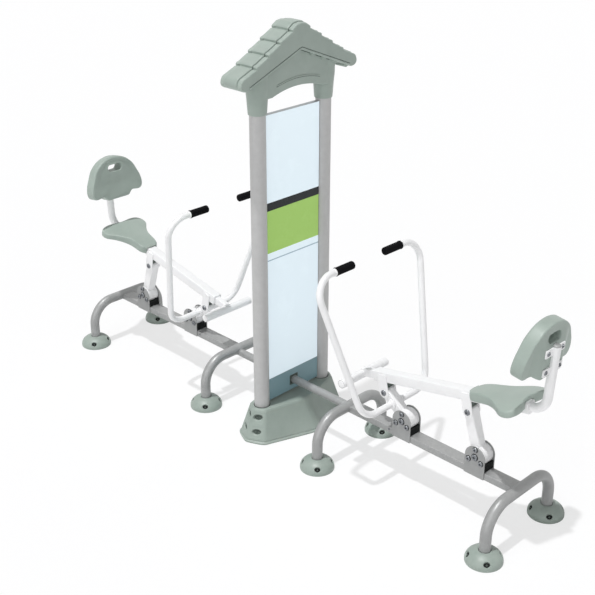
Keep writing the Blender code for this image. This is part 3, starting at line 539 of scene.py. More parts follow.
def bead(path, radius, sides=8):
    """A ring of weld along a closed path: its radius ripples as 1 + 0.18 sin(24 t), and its rows loop."""
    tangent = unit(np.roll(path, -1, 0) - np.roll(path, 1, 0))
    outward = unit(path - path.mean(0))
    outward = unit(outward - tangent * np.sum(tangent * outward, 1, keepdims=True))
    other = np.cross(tangent, outward)
    ripple = radius * (1 + 0.18 * np.sin(24 * turns(len(path))))[:, None, None]
    angle = turns(sides)
    ring = np.cos(angle)[None, :, None] * outward[:, None] + np.sin(angle)[None, :, None] * other[:, None]
    return path[:, None, :] + ripple * ring


def lathe(profile, centre, axis, sides=48):
    """centre + height axis + radius (cos a u + sin a v), for each radius and height of the profile."""
    axis = unit(np.asarray(axis, float))
    across = unit(np.cross(axis, UP if abs(axis[2]) < 0.9 else AHEAD))
    angle = turns(sides)[:, None]
    ring = np.cos(angle) * across + np.sin(angle) * np.cross(axis, across)
    profile = np.asarray(profile, float)
    return np.asarray(centre, float) + profile[:, 1, None, None] * axis + profile[:, 0, None, None] * ring


def band(inner, outer, low, high, edge, steps=2, closed=False):
    """Profile of a round bar or ring between two levels, with soft corners. An inner radius of 0 is solid."""
    return soften([(inner, low), (outer, low), (outer, high), (inner, high)], edge, steps, closed)


def disc(centre, axis, radius, height, edge):
    """A flat round plate that stands on its centre."""
    return lathe(band(0, radius, 0, height, edge), centre, axis)


def cross_pin(x, z, radius, half, edge=0.0005, steps=1, sides=48):
    """A round bar across the machine, with its middle in the middle plane."""
    return lathe(band(0, radius, -half, half, edge, steps), (x, 0, z), ACROSS, sides)


def oval(centre, axis, radius, stretch):
    """A thin plate across the axis, drawn out sideways by the stretch."""
    sink = HEAD_SINK
    plate = lathe([(0, -sink), (radius, -sink), (radius, sink), (0, sink)], centre, axis)
    level = unit(np.cross(UP, np.asarray(axis, float)))
    return plate + ((plate - centre) @ level)[..., None] * level * (stretch - 1)


def screw(centre, axis, radius, height):
    """A button head: a lathe whose socket rows have a hexagon's radius, cos 30 / cos(a mod 60 - 30)."""
    sides = 36
    turn = np.linspace(0.25, 1, 6) * math.pi / 2
    dome = [(radius, -HEAD_SINK), (radius, height * 0.25)]
    dome += [(radius * (0.62 + 0.38 * math.cos(a * 0.9)), height * (0.25 + 0.75 * math.sin(a)))
             for a in turn[:-1]]
    socket = [(0.50, 1.0), (0.46, 0.97), (0.45, 0.35), (0.0, 0.32)]
    rows = lathe(dome + [(radius * r, height * h) for r, h in socket], centre, axis, sides)
    middle = rows.mean(1, keepdims=True)
    hexagon = math.cos(math.pi / 6) / np.cos(np.mod(turns(sides), math.pi / 3) - math.pi / 6)
    rows[-4:] = middle[-4:] + (rows[-4:] - middle[-4:]) * hexagon[None, :, None]
    return rows


def oval_well(across, rise, half):
    """1 inside an ellipse with these half axes and 0 outside it, with a soft edge."""
    return 1 - smooth(0.86, 1.10, np.sqrt((across / half[0]) ** 2 + (rise / half[1]) ** 2))


def upright(points):
    """Outline (x, z) and level y, as x, y and z."""
    return points[..., (0, 2, 1)]


def lengthwise(points):
    """Outline (y, z) and level x, as x, y and z."""
    return points[..., (2, 0, 1)]


def on_bar(points):
    """Points along the seat bar, above its pivot line and across it, as x, y and z."""
    along, above, across = points[..., 0], points[..., 1], points[..., 2]
    x = FRONT_PIVOT[0] + along * math.cos(BAR_ANGLE) - above * math.sin(BAR_ANGLE)
    z = FRONT_PIVOT[1] + along * math.sin(BAR_ANGLE) + above * math.cos(BAR_ANGLE)
    return np.stack([x, across, z], -1)


BACK_CORNER = on_bar(np.array([BAR_REAR + BACK_RUN, BAR_OFFSET, 0.0]))


def on_back(points):
    """Points across the back tube, up it and ahead of its line, as x, y and z."""
    across, rise, ahead = points[..., 0], points[..., 1], points[..., 2]
    x = BACK_CORNER[0] + rise * math.tan(BACK_RECLINE) - ahead * math.cos(BACK_RECLINE)
    return np.stack([x, across, BACK_CORNER[2] + rise + ahead * math.sin(BACK_RECLINE)], -1)


PANEL_HOLD = on_back(np.array([0.0, STRAPS[1], 0.0]))


def on_panel(points):
    """Points across the backrest, up it and ahead of its rear plane, as x, y and z."""
    across, rise, ahead = points[..., 0], points[..., 1], points[..., 2]
    above = rise - STRAPS[1]
    hold = PANEL_HOLD[0] - BACK_TUBE - PANEL_GAP
    x = hold + above * math.tan(PANEL_RECLINE) - ahead * math.cos(PANEL_RECLINE)
    return np.stack([x, across, PANEL_HOLD[2] + above + ahead * math.sin(PANEL_RECLINE)], -1)


# Pieces

def cells(rows, columns, start, looped):
    """The four corners of every cell of a grid whose rows close, and whose last row may meet its first."""
    row = np.arange(rows if looped else rows - 1)[:, None]
    column = np.arange(columns)[None, :]
    after = (column + 1) % columns
    here, below = row * columns, (row + 1) % rows * columns
    corners = np.stack([here + column, here + after, below + after, below + column], -1)
    return (corners.reshape(-1, 4) + start).tolist()


def mark_wear(mesh, totals):
    """Stores how far each face corner's vertex stands out from its neighbours, for the rubbed edges.

    That is the mean rise along its normal over the mean run. Flat end faces get none.
    """
    size = len(mesh.vertices) * 3
    points, normals = np.zeros(size), np.zeros(size)
    mesh.vertices.foreach_get("co", points)
    mesh.vertices.foreach_get("normal", normals)
    points, normals = points.reshape(-1, 3), normals.reshape(-1, 3)
    ends = np.zeros(len(mesh.edges) * 2, np.int32)
    mesh.edges.foreach_get("vertices", ends)
    ends = np.concatenate([ends.reshape(-1, 2), ends.reshape(-1, 2)[:, ::-1]])
    away = points[ends[:, 0]] - points[ends[:, 1]]
    rise = np.bincount(ends[:, 0], np.sum(away * normals[ends[:, 0]], 1), len(points))
    run = np.bincount(ends[:, 0], np.linalg.norm(away, axis=1), len(points))
    at = np.zeros(len(mesh.loops), np.int32)
    mesh.loops.foreach_get("vertex_index", at)
    values = (rise / np.maximum(run, 1e-9))[at] * np.repeat(totals <= 4, totals)
    mesh.attributes.new("wear", "FLOAT", "CORNER").data.foreach_set("value", values.astype(np.float32))


def make_piece(name, body, grids, look, nodes=(), looped=False, sharp=38.0):
    """One mesh from grids of points. Unless the rows loop, a flat face closes the first and the last row."""
    corners, faces, start = [], [], 0
    for grid in grids:
        rows, columns = grid.shape[:2]
        corners.append(grid.reshape(-1, 3))
        faces += cells(rows, columns, start, looped)
        if not looped:
            last = start + (rows - 1) * columns
            faces += [list(range(start, start + columns)), list(range(last, last + columns))]
        start += rows * columns
    mesh = bpy.data.meshes.new(name)
    mesh.from_pydata(np.concatenate(corners).tolist(), [], faces)
    work = bmesh.new()
    work.from_mesh(mesh)
    bmesh.ops.remove_doubles(work, verts=work.verts, dist=2e-6)
    bmesh.ops.recalc_face_normals(work, faces=work.faces)
    work.to_mesh(mesh)
    work.free()
    material, slot = LOOKS[look]
    mesh.materials.append(material)
    mesh.shade_smooth()
    mesh.set_sharp_from_angle(angle=math.radians(sharp))
    totals = np.zeros(len(mesh.polygons), np.int32)
    mesh.polygons.foreach_get("loop_total", totals)
    mesh.polygons.foreach_set("use_smooth", totals <= 4)
    mark_wear(mesh, totals)
    piece = bpy.data.objects.new(name, mesh)
    bpy.context.scene.collection.objects.link(piece)
    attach(piece, body)
    if nodes:
        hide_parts(*nodes)


def make_pair(name, body, grids, look, nodes=(), **options):
    """The same piece on both stations: x and y change sign together on station b."""
    for letter, sign in (("a", 1), ("b", -1)):
        turned = [grid * (sign, sign, 1) for grid in grids]
        own = "frame" if body == "frame" else letter + "_" + body
        make_piece(letter + "_" + name, own, turned, look, [letter + "_" + node for node in nodes], **options)


# Finishes

def put(tree, kind, settings=None, **sockets):
    """A shader node with its settings, and with each socket linked or set. A socket i2 is the third one."""
    made = tree.nodes.new("ShaderNode" + kind)
    for key, value in (settings or {}).items():
        setattr(made, key, value)
    for key, value in sockets.items():
        socket = made.inputs[int(key[1:])] if key[1:].isdigit() else made.inputs[key.replace("_", " ")]
        if isinstance(value, bpy.types.NodeSocket):
            tree.links.new(value, socket)
        else:
            socket.default_value = value
    return made


def calculate(tree, operation, *values, clamp=False):
    """The result of a Math node, with each of its values linked or set."""
    sockets = {"i" + str(place): value for place, value in enumerate(values)}
    return put(tree, "Math", {"operation": operation, "use_clamp": clamp}, **sockets).outputs[0]


def remap(tree, value, low, high, to_low=0.0, to_high=1.0):
    """The result of a Map Range node: low becomes to_low and high becomes to_high."""
    made = put(tree, "MapRange", Value=value, From_Min=low, From_Max=high, To_Min=to_low, To_Max=to_high)
    return made.outputs[0]


def blend_colour(tree, mask, low, high):
    """One colour where the mask is 0 and another where it is 1."""
    return put(tree, "Mix", {"data_type": "RGBA"}, i0=mask, i6=low, i7=high).outputs[2]


def object_place(tree):
    """The object's own coordinates."""
    return put(tree, "TexCoord").outputs["Object"]


def upward(tree, vector):
    """The vertical share of a vector."""
    return put(tree, "SeparateXYZ", Vector=vector).outputs["Z"]


def new_group(name, inputs, outputs):
    """An empty shader node group, and what goes in and out of it. An input has a kind and a default."""
    tree = bpy.data.node_groups.new(name, "ShaderNodeTree")
    for label, (kind, value) in inputs.items():
        socket = tree.interface.new_socket(label, in_out="INPUT", socket_type="NodeSocket" + kind)
        socket.default_value = value
    for label, kind in outputs.items():
        tree.interface.new_socket(label, in_out="OUTPUT", socket_type="NodeSocket" + kind)
    return tree, tree.nodes.new("NodeGroupInput").outputs, tree.nodes.new("NodeGroupOutput").inputs


def mottle_group():
    """Two colours mixed by soft noise, and the noise itself as a mask: a slow one with a fine one added."""
    tree, given, out = new_group("mottle", {"Light": ("Color", (1, 1, 1, 1)), "Dark": ("Color", (0, 0, 0, 1)),
                                            "Scale": ("Float", 8.0)}, {"Colour": "Color", "Mask": "Float"})
    place = object_place(tree)
    slow = put(tree, "TexNoise", Vector=place, Scale=given["Scale"], Detail=5.0, Roughness=0.6)
    fine = put(tree, "TexNoise", Vector=place, Scale=420.0, Detail=2.0)
    both = calculate(tree, "MULTIPLY_ADD", fine.outputs["Fac"], 0.35, slow.outputs["Fac"])
    mask = remap(tree, both, 0.42, 0.95)
    tree.links.new(blend_colour(tree, mask, given["Dark"], given["Light"]), out["Colour"])
    tree.links.new(mask, out["Mask"])
    return tree


def grain_group():
    """Height of a moulded or sprayed surface: fine cells added to a slower waviness."""
    tree, given, out = new_group("grain", {"Cell Scale": ("Float", 500.0), "Cell Share": ("Float", 0.6),
                                           "Wave Scale": ("Float", 30.0)}, {"Height": "Float"})
    place = object_place(tree)
    cell = put(tree, "TexVoronoi", {"feature": "SMOOTH_F1"}, Vector=place, Scale=given["Cell Scale"])
    wave = put(tree, "TexNoise", Vector=place, Scale=given["Wave Scale"], Detail=3.0)
    mix = put(tree, "Mix", i0=given["Cell Share"], i2=wave.outputs["Fac"], i3=cell.outputs["Distance"])
    tree.links.new(mix.outputs[0], out["Height"])
    return tree


def edge_group():
    """Mask of rubbed edges: convex places, broken up by noise."""
    tree, given, out = new_group("edge_wear", {"Low": ("Float", 0.06), "High": ("Float", 0.18)},
                                 {"Mask": "Float"})
    convex = put(tree, "Attribute", {"attribute_name": "wear"}).outputs["Fac"]
    chips = put(tree, "TexNoise", Vector=object_place(tree), Scale=70.0, Detail=6.0, Roughness=0.7)
    sharp = remap(tree, convex, given["Low"], given["High"])
    broken = remap(tree, chips.outputs["Fac"], 0.42, 0.60)
    tree.links.new(calculate(tree, "MULTIPLY", sharp, broken), out["Mask"])
    return tree


def dust_group():
    """Mask of settled dust: faces that look up, and a splash zone near the ground, both broken by noise."""
    tree, given, out = new_group("dust", {"Top": ("Float", 0.3), "Splash": ("Float", 0.4)}, {"Mask": "Float"})
    place = object_place(tree)
    up = remap(tree, upward(tree, put(tree, "NewGeometry").outputs["Normal"]), 0.55, 1.0)
    low = remap(tree, upward(tree, place), 0.10, 0.0)
    top = calculate(tree, "MULTIPLY", up, given["Top"])
    both = calculate(tree, "MULTIPLY_ADD", low, given["Splash"], top)
    cloud = put(tree, "TexNoise", Vector=place, Scale=26.0, Detail=7.0, Roughness=0.65)
    patch = remap(tree, cloud.outputs["Fac"], 0.40, 0.68)
    tree.links.new(calculate(tree, "MULTIPLY", both, patch), out["Mask"])
    return tree


GROUPS = {"mottle": mottle_group(), "grain": grain_group(), "edge": edge_group(), "dust": dust_group()}
DUST = (0.52, 0.51, 0.47, 1)
DULLED_BY_DUST = 0.3
GLOSS_SWING = 0.07
PRINT_COVER = 0.98


def use(tree, group, **sockets):
    """What one of the shared effects gives, placed in a material."""
    made = tree.nodes.new("ShaderNodeGroup")
    made.node_tree = GROUPS[group]
    for key, value in sockets.items():
        made.inputs[key.replace("_", " ")].default_value = value
    return made.outputs


def finish(name, light, dark, worn, rough, metallic=0.0, scale=8.0, cells_at=500.0, depth=0.0002, wear=0.5,
           top=0.3, splash=0.4, coat=0.0, shine=0.5, base=None):
    """A painted or moulded finish: mottled colour, rubbed edges, dust, uneven gloss and a fine relief."""
    made = bpy.data.materials.new(name)
    made.use_nodes = True
    tree = made.node_tree
    shader = tree.nodes["Principled BSDF"].inputs
    tone = use(tree, "mottle", Light=(*light, 1), Dark=(*dark, 1), Scale=scale)
    colour = tone["Colour"]
    if base:
        colour = blend_colour(tree, PRINT_COVER, colour, base(tree))
    rubbed = calculate(tree, "MULTIPLY", use(tree, "edge")["Mask"], wear)
    dust = use(tree, "dust", Top=top, Splash=splash)["Mask"]
    colour = blend_colour(tree, rubbed, colour, (*worn, 1))
    colour = blend_colour(tree, dust, colour, DUST)
    gloss = remap(tree, tone["Mask"], 0.0, 1.0, rough - GLOSS_SWING, rough + GLOSS_SWING)
    dull = calculate(tree, "MULTIPLY_ADD", dust, DULLED_BY_DUST, gloss, clamp=True)
    relief = use(tree, "grain", Cell_Scale=cells_at)["Height"]
    bump = put(tree, "Bump", Strength=0.5, Distance=depth, Height=relief)
    tree.links.new(colour, shader["Base Color"])
    tree.links.new(dull, shader["Roughness"])
    tree.links.new(bump.outputs["Normal"], shader["Normal"])
    shader["Metallic"].default_value = metallic
    shader["Coat Weight"].default_value = coat
    shader["Specular IOR Level"].default_value = shine
    return made


def print_bands(tree):
    """The board's plain printed bands by height: a colour ramp with hard steps, over a pale fade."""
    share = remap(tree, upward(tree, object_place(tree)), BOARD_LOW, BOARD_TOP)
    ramp = put(tree, "ValToRGB", Fac=share)
    ramp.color_ramp.interpolation = "CONSTANT"
    pale = (0.80, 0.915, 0.985)
    bands = ((0.0, (0.14, 0.225, 0.25)), (0.0785, pale), (0.5152, (0.30, 0.42, 0.50)), (0.5162, pale),
             (0.5395, (0.34, 0.56, 0.125)), (0.684, (0.004, 0.004, 0.004)), (0.7125, pale))
    stops = ramp.color_ramp.elements
    for stop, (position, colour) in zip(list(stops), bands):
        stop.position, stop.color = position, (*colour, 1)
    for position, colour in bands[2:]:
        stops.new(position).color = (*colour, 1)
    fade = remap(tree, share, 0.72, 1.0, 0.0, 0.25)
    return blend_colour(tree, fade, ramp.outputs["Color"], (0.86, 0.95, 0.995, 1))


def even(value):
    """A grey."""
    return (value,) * 3


MOULDED = {"cells_at": 620.0, "depth": 0.0004, "wear": 0.35, "top": 0.10, "splash": 0.12}
POWDER = {"cells_at": 1400.0, "depth": 0.00012, "splash": 0.1}
SHADED = {"scale": 50.0, "depth": 0.0002, "top": 0.0, "splash": 0.0}
LOOKS = {
    "sage": (finish("sage_moulded_plastic", (0.365, 0.432, 0.392), (0.305, 0.367, 0.331), (0.47, 0.54, 0.49),
                    0.40, **MOULDED), "sage_plastic"),
    # low: a darker copy of the sage finish for the plinth, its post collars and the caps, as painted shade
    # near the ground
    "low": (finish("sage_moulded_plastic_shaded_low", (0.325, 0.385, 0.349), (0.270, 0.325, 0.293),
                   (0.42, 0.48, 0.44), 0.42, **MOULDED), "sage_plastic"),
    "post": (finish("post_grey_powder_coat", even(0.53), even(0.47), even(0.60), 0.42, metallic=0.2,
                    scale=24.0, wear=0.2, top=0.05, **POWDER), "grey_powder_coat"),
    "grey": (finish("silver_grey_powder_coat", (0.36, 0.365, 0.365), (0.31, 0.315, 0.315), even(0.46), 0.42,
                    metallic=0.3, scale=30.0, wear=0.3, top=0.08, **POWDER), "grey_powder_coat"),
    "white": (finish("white_powder_coat", (0.91, 0.91, 0.92), (0.86, 0.86, 0.87), (0.75, 0.75, 0.76), 0.36,
                     scale=14.0, cells_at=900.0, depth=0.00012, wear=0.15, top=0.05, splash=0.2, coat=0.1),
              "white_powder_coat"),
    "rubber": (finish("black_ribbed_rubber", (0.006, 0.006, 0.007), (0.002, 0.002, 0.003), even(0.03), 0.62,
                      scale=60.0, cells_at=1600.0, depth=0.0003, wear=0.2, top=0.0, splash=0.0, shine=0.05),
               "black_grip_rubber"),
    "steel": (finish("zinc_plated_steel", (0.25, 0.26, 0.28), (0.14, 0.15, 0.16), (0.55, 0.56, 0.58), 0.33,
                     metallic=0.9, scale=90.0, cells_at=2400.0, depth=0.00008, top=0.1), "bolt_steel"),
    # dark: painted shade, laid on the rings at the posts and legs, the seats in the caps' wells, the bearing
    # washers and the blocks under the hubs
    "dark": (finish("shadow_gap_seal", (0.018, 0.020, 0.020), (0.008, 0.009, 0.009), even(0.03), 0.85,
                    shine=0.1, **SHADED), None),
    # joint: a dark sage green laid as painted shade on the screws and seats in the wells, the link plate and
    # ring, the lines in the roof's grooves and on the gable, and the blocks between the lugs
    "joint": (finish("moulding_joint_shade", (0.11, 0.135, 0.12), (0.07, 0.09, 0.08), (0.16, 0.19, 0.17), 0.8,
                     shine=0.2, **SHADED), None),
    "print": (finish("printed_board_face", (0.72, 0.84, 0.94), (0.62, 0.76, 0.88), (0.8, 0.85, 0.88), 0.26,
                     scale=3.0, cells_at=2200.0, depth=0.00003, wear=0.0, top=0.0, splash=0.0, coat=0.03,
                     shine=0.2, base=print_bands), "board_face"),
    "core": (finish("board_core_aluminium", (0.50, 0.52, 0.54), (0.42, 0.44, 0.46), (0.6, 0.61, 0.62), 0.40,
                    metallic=0.6, scale=40.0, depth=0.0001, top=0.05), "board_face"),
}


# Centre

def build_posts():
    """Each post is a lathe of a bar with soft ends, with a thin dark ring of painted shade where it enters
    the plinth.
    """
    inner = POST_RADIUS + SHADE_RING_GAP
    shade_ring = [(inner, 0), (COLLAR_INNER, 0), (COLLAR_INNER - SHADE_RING_EDGE, SHADE_RING_HEIGHT), (inner, SHADE_RING_HEIGHT)]
    shade_ring = soften(shade_ring, SHADE_RING_EDGE, 2, True)
    for hand, side in HANDS:
        name, y = "post_" + hand, side * POST_SPREAD
        tube = lathe(band(0, POST_RADIUS, POST_FOOT, POST_TOP, POST_EDGE, 3), (0, y, 0), UP, 64)
        make_piece(name + "_tube", "frame", [tube], "post", [name])
        ring = lathe(shade_ring, (0, y, PLINTH_HEIGHT - SHADE_RING_SINK), UP, 64)
        make_piece(name + "_foot_seal", "frame", [ring], "dark", looped=True)


def plinth_loop(quarter, reach):
    """The plinth's outline from its quarter, with soft corners and points at fixed shares of every side."""
    quarter = np.asarray(quarter)
    loop = np.vstack([quarter, quarter[-2::-1] * (-1, 1), quarter[1:] * (-1, -1), quarter[-2:0:-1] * (1, -1)])
    curve = soften(loop, reach, 6, closed=True)
    at = np.linspace(0, len(curve), 640, endpoint=False)
    wrapped = np.vstack([curve, curve[:1]])
    return np.stack([np.interp(at, np.arange(len(wrapped)), wrapped[:, axis]) for axis in (0, 1)], 1)


def plinth_wall(base, top):
    """Rows of the wall: the base outline blends into the top one with height, and is then moved outwards.

    The foot flares to a rim with a groove over it. Oval wells in shallow frames are pressed into both ends.
    """
    shoulder = PLINTH_HEIGHT - PLINTH_LIP
    heights = np.concatenate([np.linspace(0, RIM_ROWS_TOP, 10)[:-1], np.linspace(RIM_ROWS_TOP, shoulder, 78)])
    share = np.clip((heights - PLINTH_RIM) / (PLINTH_HEIGHT - PLINTH_RIM), 0, 1)[:, None, None]
    loops = base[None] * (1 - share) + top[None] * share
    tangent = unit(np.roll(loops, -1, 1) - np.roll(loops, 1, 1))
    outward = np.stack([tangent[..., 1], -tangent[..., 0]], -1)
    outward *= np.sign(np.sum(outward * loops, -1, keepdims=True))
    flare = RIM_FLARE * (1 - smooth(*RIM_FLARE_FADE, heights))
    groove = GROOVE_DEPTH * np.exp(-((heights - GROOVE_LEVEL) / GROOVE_WIDTH) ** 2)
    curl = RIM_CURL * (1 - smooth(0.0, RIM_CURL_TOP, heights))
    ends = np.abs(loops[..., 1]) > PLINTH_END
    depth = np.zeros(loops.shape[:2])
    for x, z in PLINTH_HOLES:
        across = np.abs(loops[..., 0]) - x
        rise = heights[:, None] - z
        depth -= HOLE_DEPTH * oval_well(across, rise, HOLE_HALF) * ends
        edge = np.maximum(np.abs(across) / HOLE_FRAME_HALF[0], np.abs(rise) / HOLE_FRAME_HALF[1])
        depth = np.minimum(depth, -HOLE_FRAME_DEPTH * (1 - smooth(*HOLE_FRAME_FADE, edge)) * ends)
    moved = loops + outward * ((flare - groove - curl)[:, None] + depth)[..., None]
    return np.concatenate([moved, np.broadcast_to(heights[:, None, None], moved.shape[:2] + (1,))], -1)


def build_plinth():
    """A quarter round closes the wall above. Screws stand on oval seats in its wells, and rings at posts."""
    base, top = plinth_loop(PLINTH_BASE, PLINTH_BASE_BEND), plinth_loop(PLINTH_TOP, PLINTH_LIP)
    lip = []
    for angle in np.linspace(0, math.pi / 2, 7)[1:]:
        drawn = inset(top, PLINTH_LIP * (1 - math.cos(angle)))
        level = PLINTH_HEIGHT - PLINTH_LIP * (1 - math.sin(angle))
        lip.append(np.column_stack([drawn, np.full(len(top), level)]))
    shell = np.concatenate([plinth_wall(base, top), np.stack(lip)])
    # The darker sage copy here is painted shade near the ground.
    make_piece("plinth_shell", "frame", [shell], "low", ["base_plinth"], sharp=50.0)
    screws, seats = [], []
    for end, side, (x, z) in product(SIDES, SIDES, PLINTH_HOLES):
        lift = (z - PLINTH_RIM) / (PLINTH_HEIGHT - PLINTH_RIM)
        corner = np.array(PLINTH_BASE[3:5]) * (1 - lift) + np.array(PLINTH_TOP[3:5]) * lift
        y = np.interp(x, corner[::-1, 0], corner[::-1, 1]) * end
        out = unit(np.multiply((side, end, 1), HOLE_FACING))
        hold = np.array([side * x, y, z]) - out * HOLE_SCREW_SINK
        screws.append(screw(hold, out, *HOLE_SCREW))
        seats.append(oval(hold, out, *HOLE_SEAT))
    # Screws and oval seats take the painted shade finish: the dark of the wells is painted on them.
    make_piece("plinth_screws", "frame", screws, "joint")
    make_piece("plinth_screw_seats", "frame", seats, "joint")
    inner, outer, low = COLLAR_INNER, COLLAR_OUTER, -COLLAR_DEPTH
    collar = [(inner, low), (outer, low), (outer, 0.0), (inner + COLLAR_SLOPE, 0.0)]
    collar = soften(collar, COLLAR_EDGE, 4, True)
    collars = [lathe(collar, (0, side * POST_SPREAD, PLINTH_HEIGHT - COLLAR_SINK), UP, 72) for side in SIDES]
    # The darker sage copy here is painted shade near the ground.
    make_piece("plinth_post_collars", "frame", collars, "low", looped=True)


def build_board():
    """A metal core with a thin printed sheet on each face, and two lamps that light the sheets alone."""
    half, thick = BOARD_HALF, BOARD_THICK / 2
    core = rectangle((-half, BOARD_LOW), (half, BOARD_TOP), BOARD_CORNER)
    core = slab(core, CORE_SINK - thick, thick - CORE_SINK, CORE_EDGE, lengthwise)
    make_piece("board_core", "frame", [core], "core", ["sign_board"])
    half, low, top = half - SHEET_MARGIN, BOARD_LOW + SHEET_MARGIN, BOARD_TOP - SHEET_MARGIN
    sheet = rectangle((-half, low), (half, top), BOARD_CORNER)
    faces = {"a_printed_face": (thick - SHEET_THICK, thick), "b_printed_face": (-thick, SHEET_THICK - thick)}
    for name, (low, high) in faces.items():
        make_piece(name, "frame", [slab(sheet, low, high, SHEET_EDGE, lengthwise, 2)], "print")
    for name, lamp in BOARD_LAMPS.items():
        sun(name, *lamp, faces)


# Roof

def barge_line(y):
    """Height of the barge's lower edge: straight from its apex to its foot on each side."""
    return BARGE_APEX + (BARGE_FOOT[1] - BARGE_APEX) * np.abs(y) / BARGE_FOOT[0]


def roof_side():
    """One slope in y and z: ridge cap, four courses with bulging noses, round eave, barge's lower edge."""
    fall = math.tan(PITCH) * COURSE_RUN
    back, rise = RIDGE_SHOULDER
    points = [(0, RIDGE), (RIDGE_HALF / 2, RIDGE - RIDGE_FALL), (RIDGE_HALF - back, RIDGE_EDGE + rise),
              (RIDGE_HALF, RIDGE_EDGE - RIDGE_LIP)]
    for course in range(COURSES):
        y = RIDGE_HALF + course * COURSE_RUN
        foot = RIDGE_EDGE - course * fall - COURSE_STEP
        points += [(y + out, foot + up) for out, up in COURSE_NOSE]
        if course < COURSES - 1:
            y, z = y + COURSE_RUN, RIDGE_EDGE - course * fall - fall
            points += [(y + out, z + up) for out, up in COURSE_TILE]
    return np.vstack([points, arc(NOSE, NOSE_RADIUS, 60, -90, 18), [BARGE_FOOT], [(0, BARGE_APEX)]])


def build_roof_shell():
    """Rows are the roof's outline from rear to front. Both ends are drawn in all round and sunk above.

    What is sunk leaves a rail and a narrow groove beside the tiles, and a dark line of painted shade lies in
    the groove.
    """
    outline = spread(soften(mirrored(roof_side()), TILE_EDGE, 4, closed=True), 900)
    upper = smooth(*RAIL_FADE, outline[:, 1] - barge_line(outline[:, 0]))
    tangent = unit(np.roll(outline, -1, 0) - np.roll(outline, 1, 0))
    inward = np.stack([-tangent[:, 1], tangent[:, 0]], 1)
    inward = unit(sum(np.roll(inward, shift, 0) for shift in range(-9, 10)))
    inward *= -np.sign(inward[np.argmax(outline[:, 1]), 1])
    steps = [(ROOF_HALF_DEPTH - come, drawn, sunk) for come, drawn, sunk in ROOF_END]
    rows = []
    for x, drawn, sunk in [(-x, drawn, sunk) for x, drawn, sunk in steps] + [(0, 0, 0)] + steps[::-1]:
        loop = outline + inward * (drawn + sunk * upper)[:, None]
        rows.append(np.column_stack([np.full(len(loop), x), loop]))
    make_piece("roof_shell", "frame", [np.stack(rows)], "sage", ["roof_cap"], sharp=60.0)
    over = np.flatnonzero((upper > 0.5) & (outline[:, 1] > JOINT_FOOT))
    over = np.roll(over, -1 - np.argmax(np.diff(over)))
    bottom = outline[over] + inward[over] * JOINT_DEPTH
    joint_shade_lines = [sweep(np.column_stack([np.full(len(over), side * (ROOF_HALF_DEPTH - JOINT_PLACE)), bottom]),
                    JOINT_RADIUS, AHEAD, 8) for side in SIDES]
    make_piece("roof_front_joints", "frame", joint_shade_lines, "joint")


def arch_line(face):
    """The arch's raised line on one face of the gable, and its radius, which fades out at both ends."""
    y = np.linspace(-RELIEF_HALF, RELIEF_HALF, LINE_POINTS)
    level = RELIEF_CROWN - RELIEF_FALL * (y / RELIEF_HALF) ** 2
    radius = RELIEF_RADIUS * np.sqrt(np.clip(1 - (np.abs(y) / RELIEF_END) ** RELIEF_POWER, 0, 1))
    return np.stack([np.full(LINE_POINTS, face * GABLE_HALF_DEPTH), y, level], 1), radius


def edge_line(x, share=1.0):
    """The barge's lower edge at some x, or a smaller copy of it about its apex."""
    y = np.linspace(-BARGE_LINE_HALF, BARGE_LINE_HALF, LINE_POINTS)
    level = BARGE_APEX + (barge_line(y) - BARGE_APEX) * share
    return np.stack([np.full(LINE_POINTS, x), y * share, level], 1)


def build_gable():
    """The panel's rows are rectangles along y: their foot follows a parabola and their head two slopes.

    Raised lines follow its arch and the barge's edge on both faces.
    """
    rows = []
    for y in np.linspace(-POST_SPREAD, POST_SPREAD, 125):
        low = GABLE_SPRING + (GABLE_CROWN - GABLE_SPRING) * max(0.0, 1 - (y / GABLE_ARCH_HALF) ** 2)
        high = GABLE_HEAD + (GABLE_APEX - GABLE_HEAD) * (1 - abs(y) / POST_SPREAD)
        section = rectangle((-GABLE_HALF_DEPTH, low), (GABLE_HALF_DEPTH, high), GABLE_EDGE)
        rows.append(np.column_stack([section[:, 0], np.full(len(section), y), section[:, 1]]))
    make_piece("gable_panel", "frame", [np.stack(rows)], "sage", sharp=60.0)
    ribs = []
    for face in SIDES:
        edge = edge_line(face * (ROOF_HALF_DEPTH - BARGE_LINE_SINK))
        ribs.append(sweep(*arch_line(face), AHEAD, 12))
        ribs.append(sweep(edge + (0, 0, BARGE_LINE_RISE), BARGE_LINE_RADIUS, AHEAD, 12))
    make_piece("gable_relief_lines", "frame", ribs, "sage")


def build_gable_seams():
    """Thin dark lines of painted shadow over the barge's raised line, under the arch's, and where the panel
    meets the roof.
    """
    shadow_lines = []
    for face in SIDES:
        arch, radius = arch_line(face)
        edge = edge_line(face * (ROOF_HALF_DEPTH - BARGE_LINE_SINK + BARGE_SHADOW_OUT))
        foot = edge_line(face * (GABLE_HALF_DEPTH + ROOF_SEAM_OUT), ROOF_SEAM_SHARE)
        shadow_lines.append(sweep(edge + (0, 0, BARGE_SHADOW_RISE), BARGE_SHADOW_RADIUS, AHEAD, 8))
        shadow_lines.append(sweep(arch - (0, 0, ARCH_SHADOW_DROP), radius / 2, AHEAD, 8))
        shadow_lines.append(sweep(foot - (0, 0, ROOF_SEAM_DROP), ROOF_SEAM_RADIUS, AHEAD, 8))
    make_piece("gable_seams", "frame", shadow_lines, "joint")


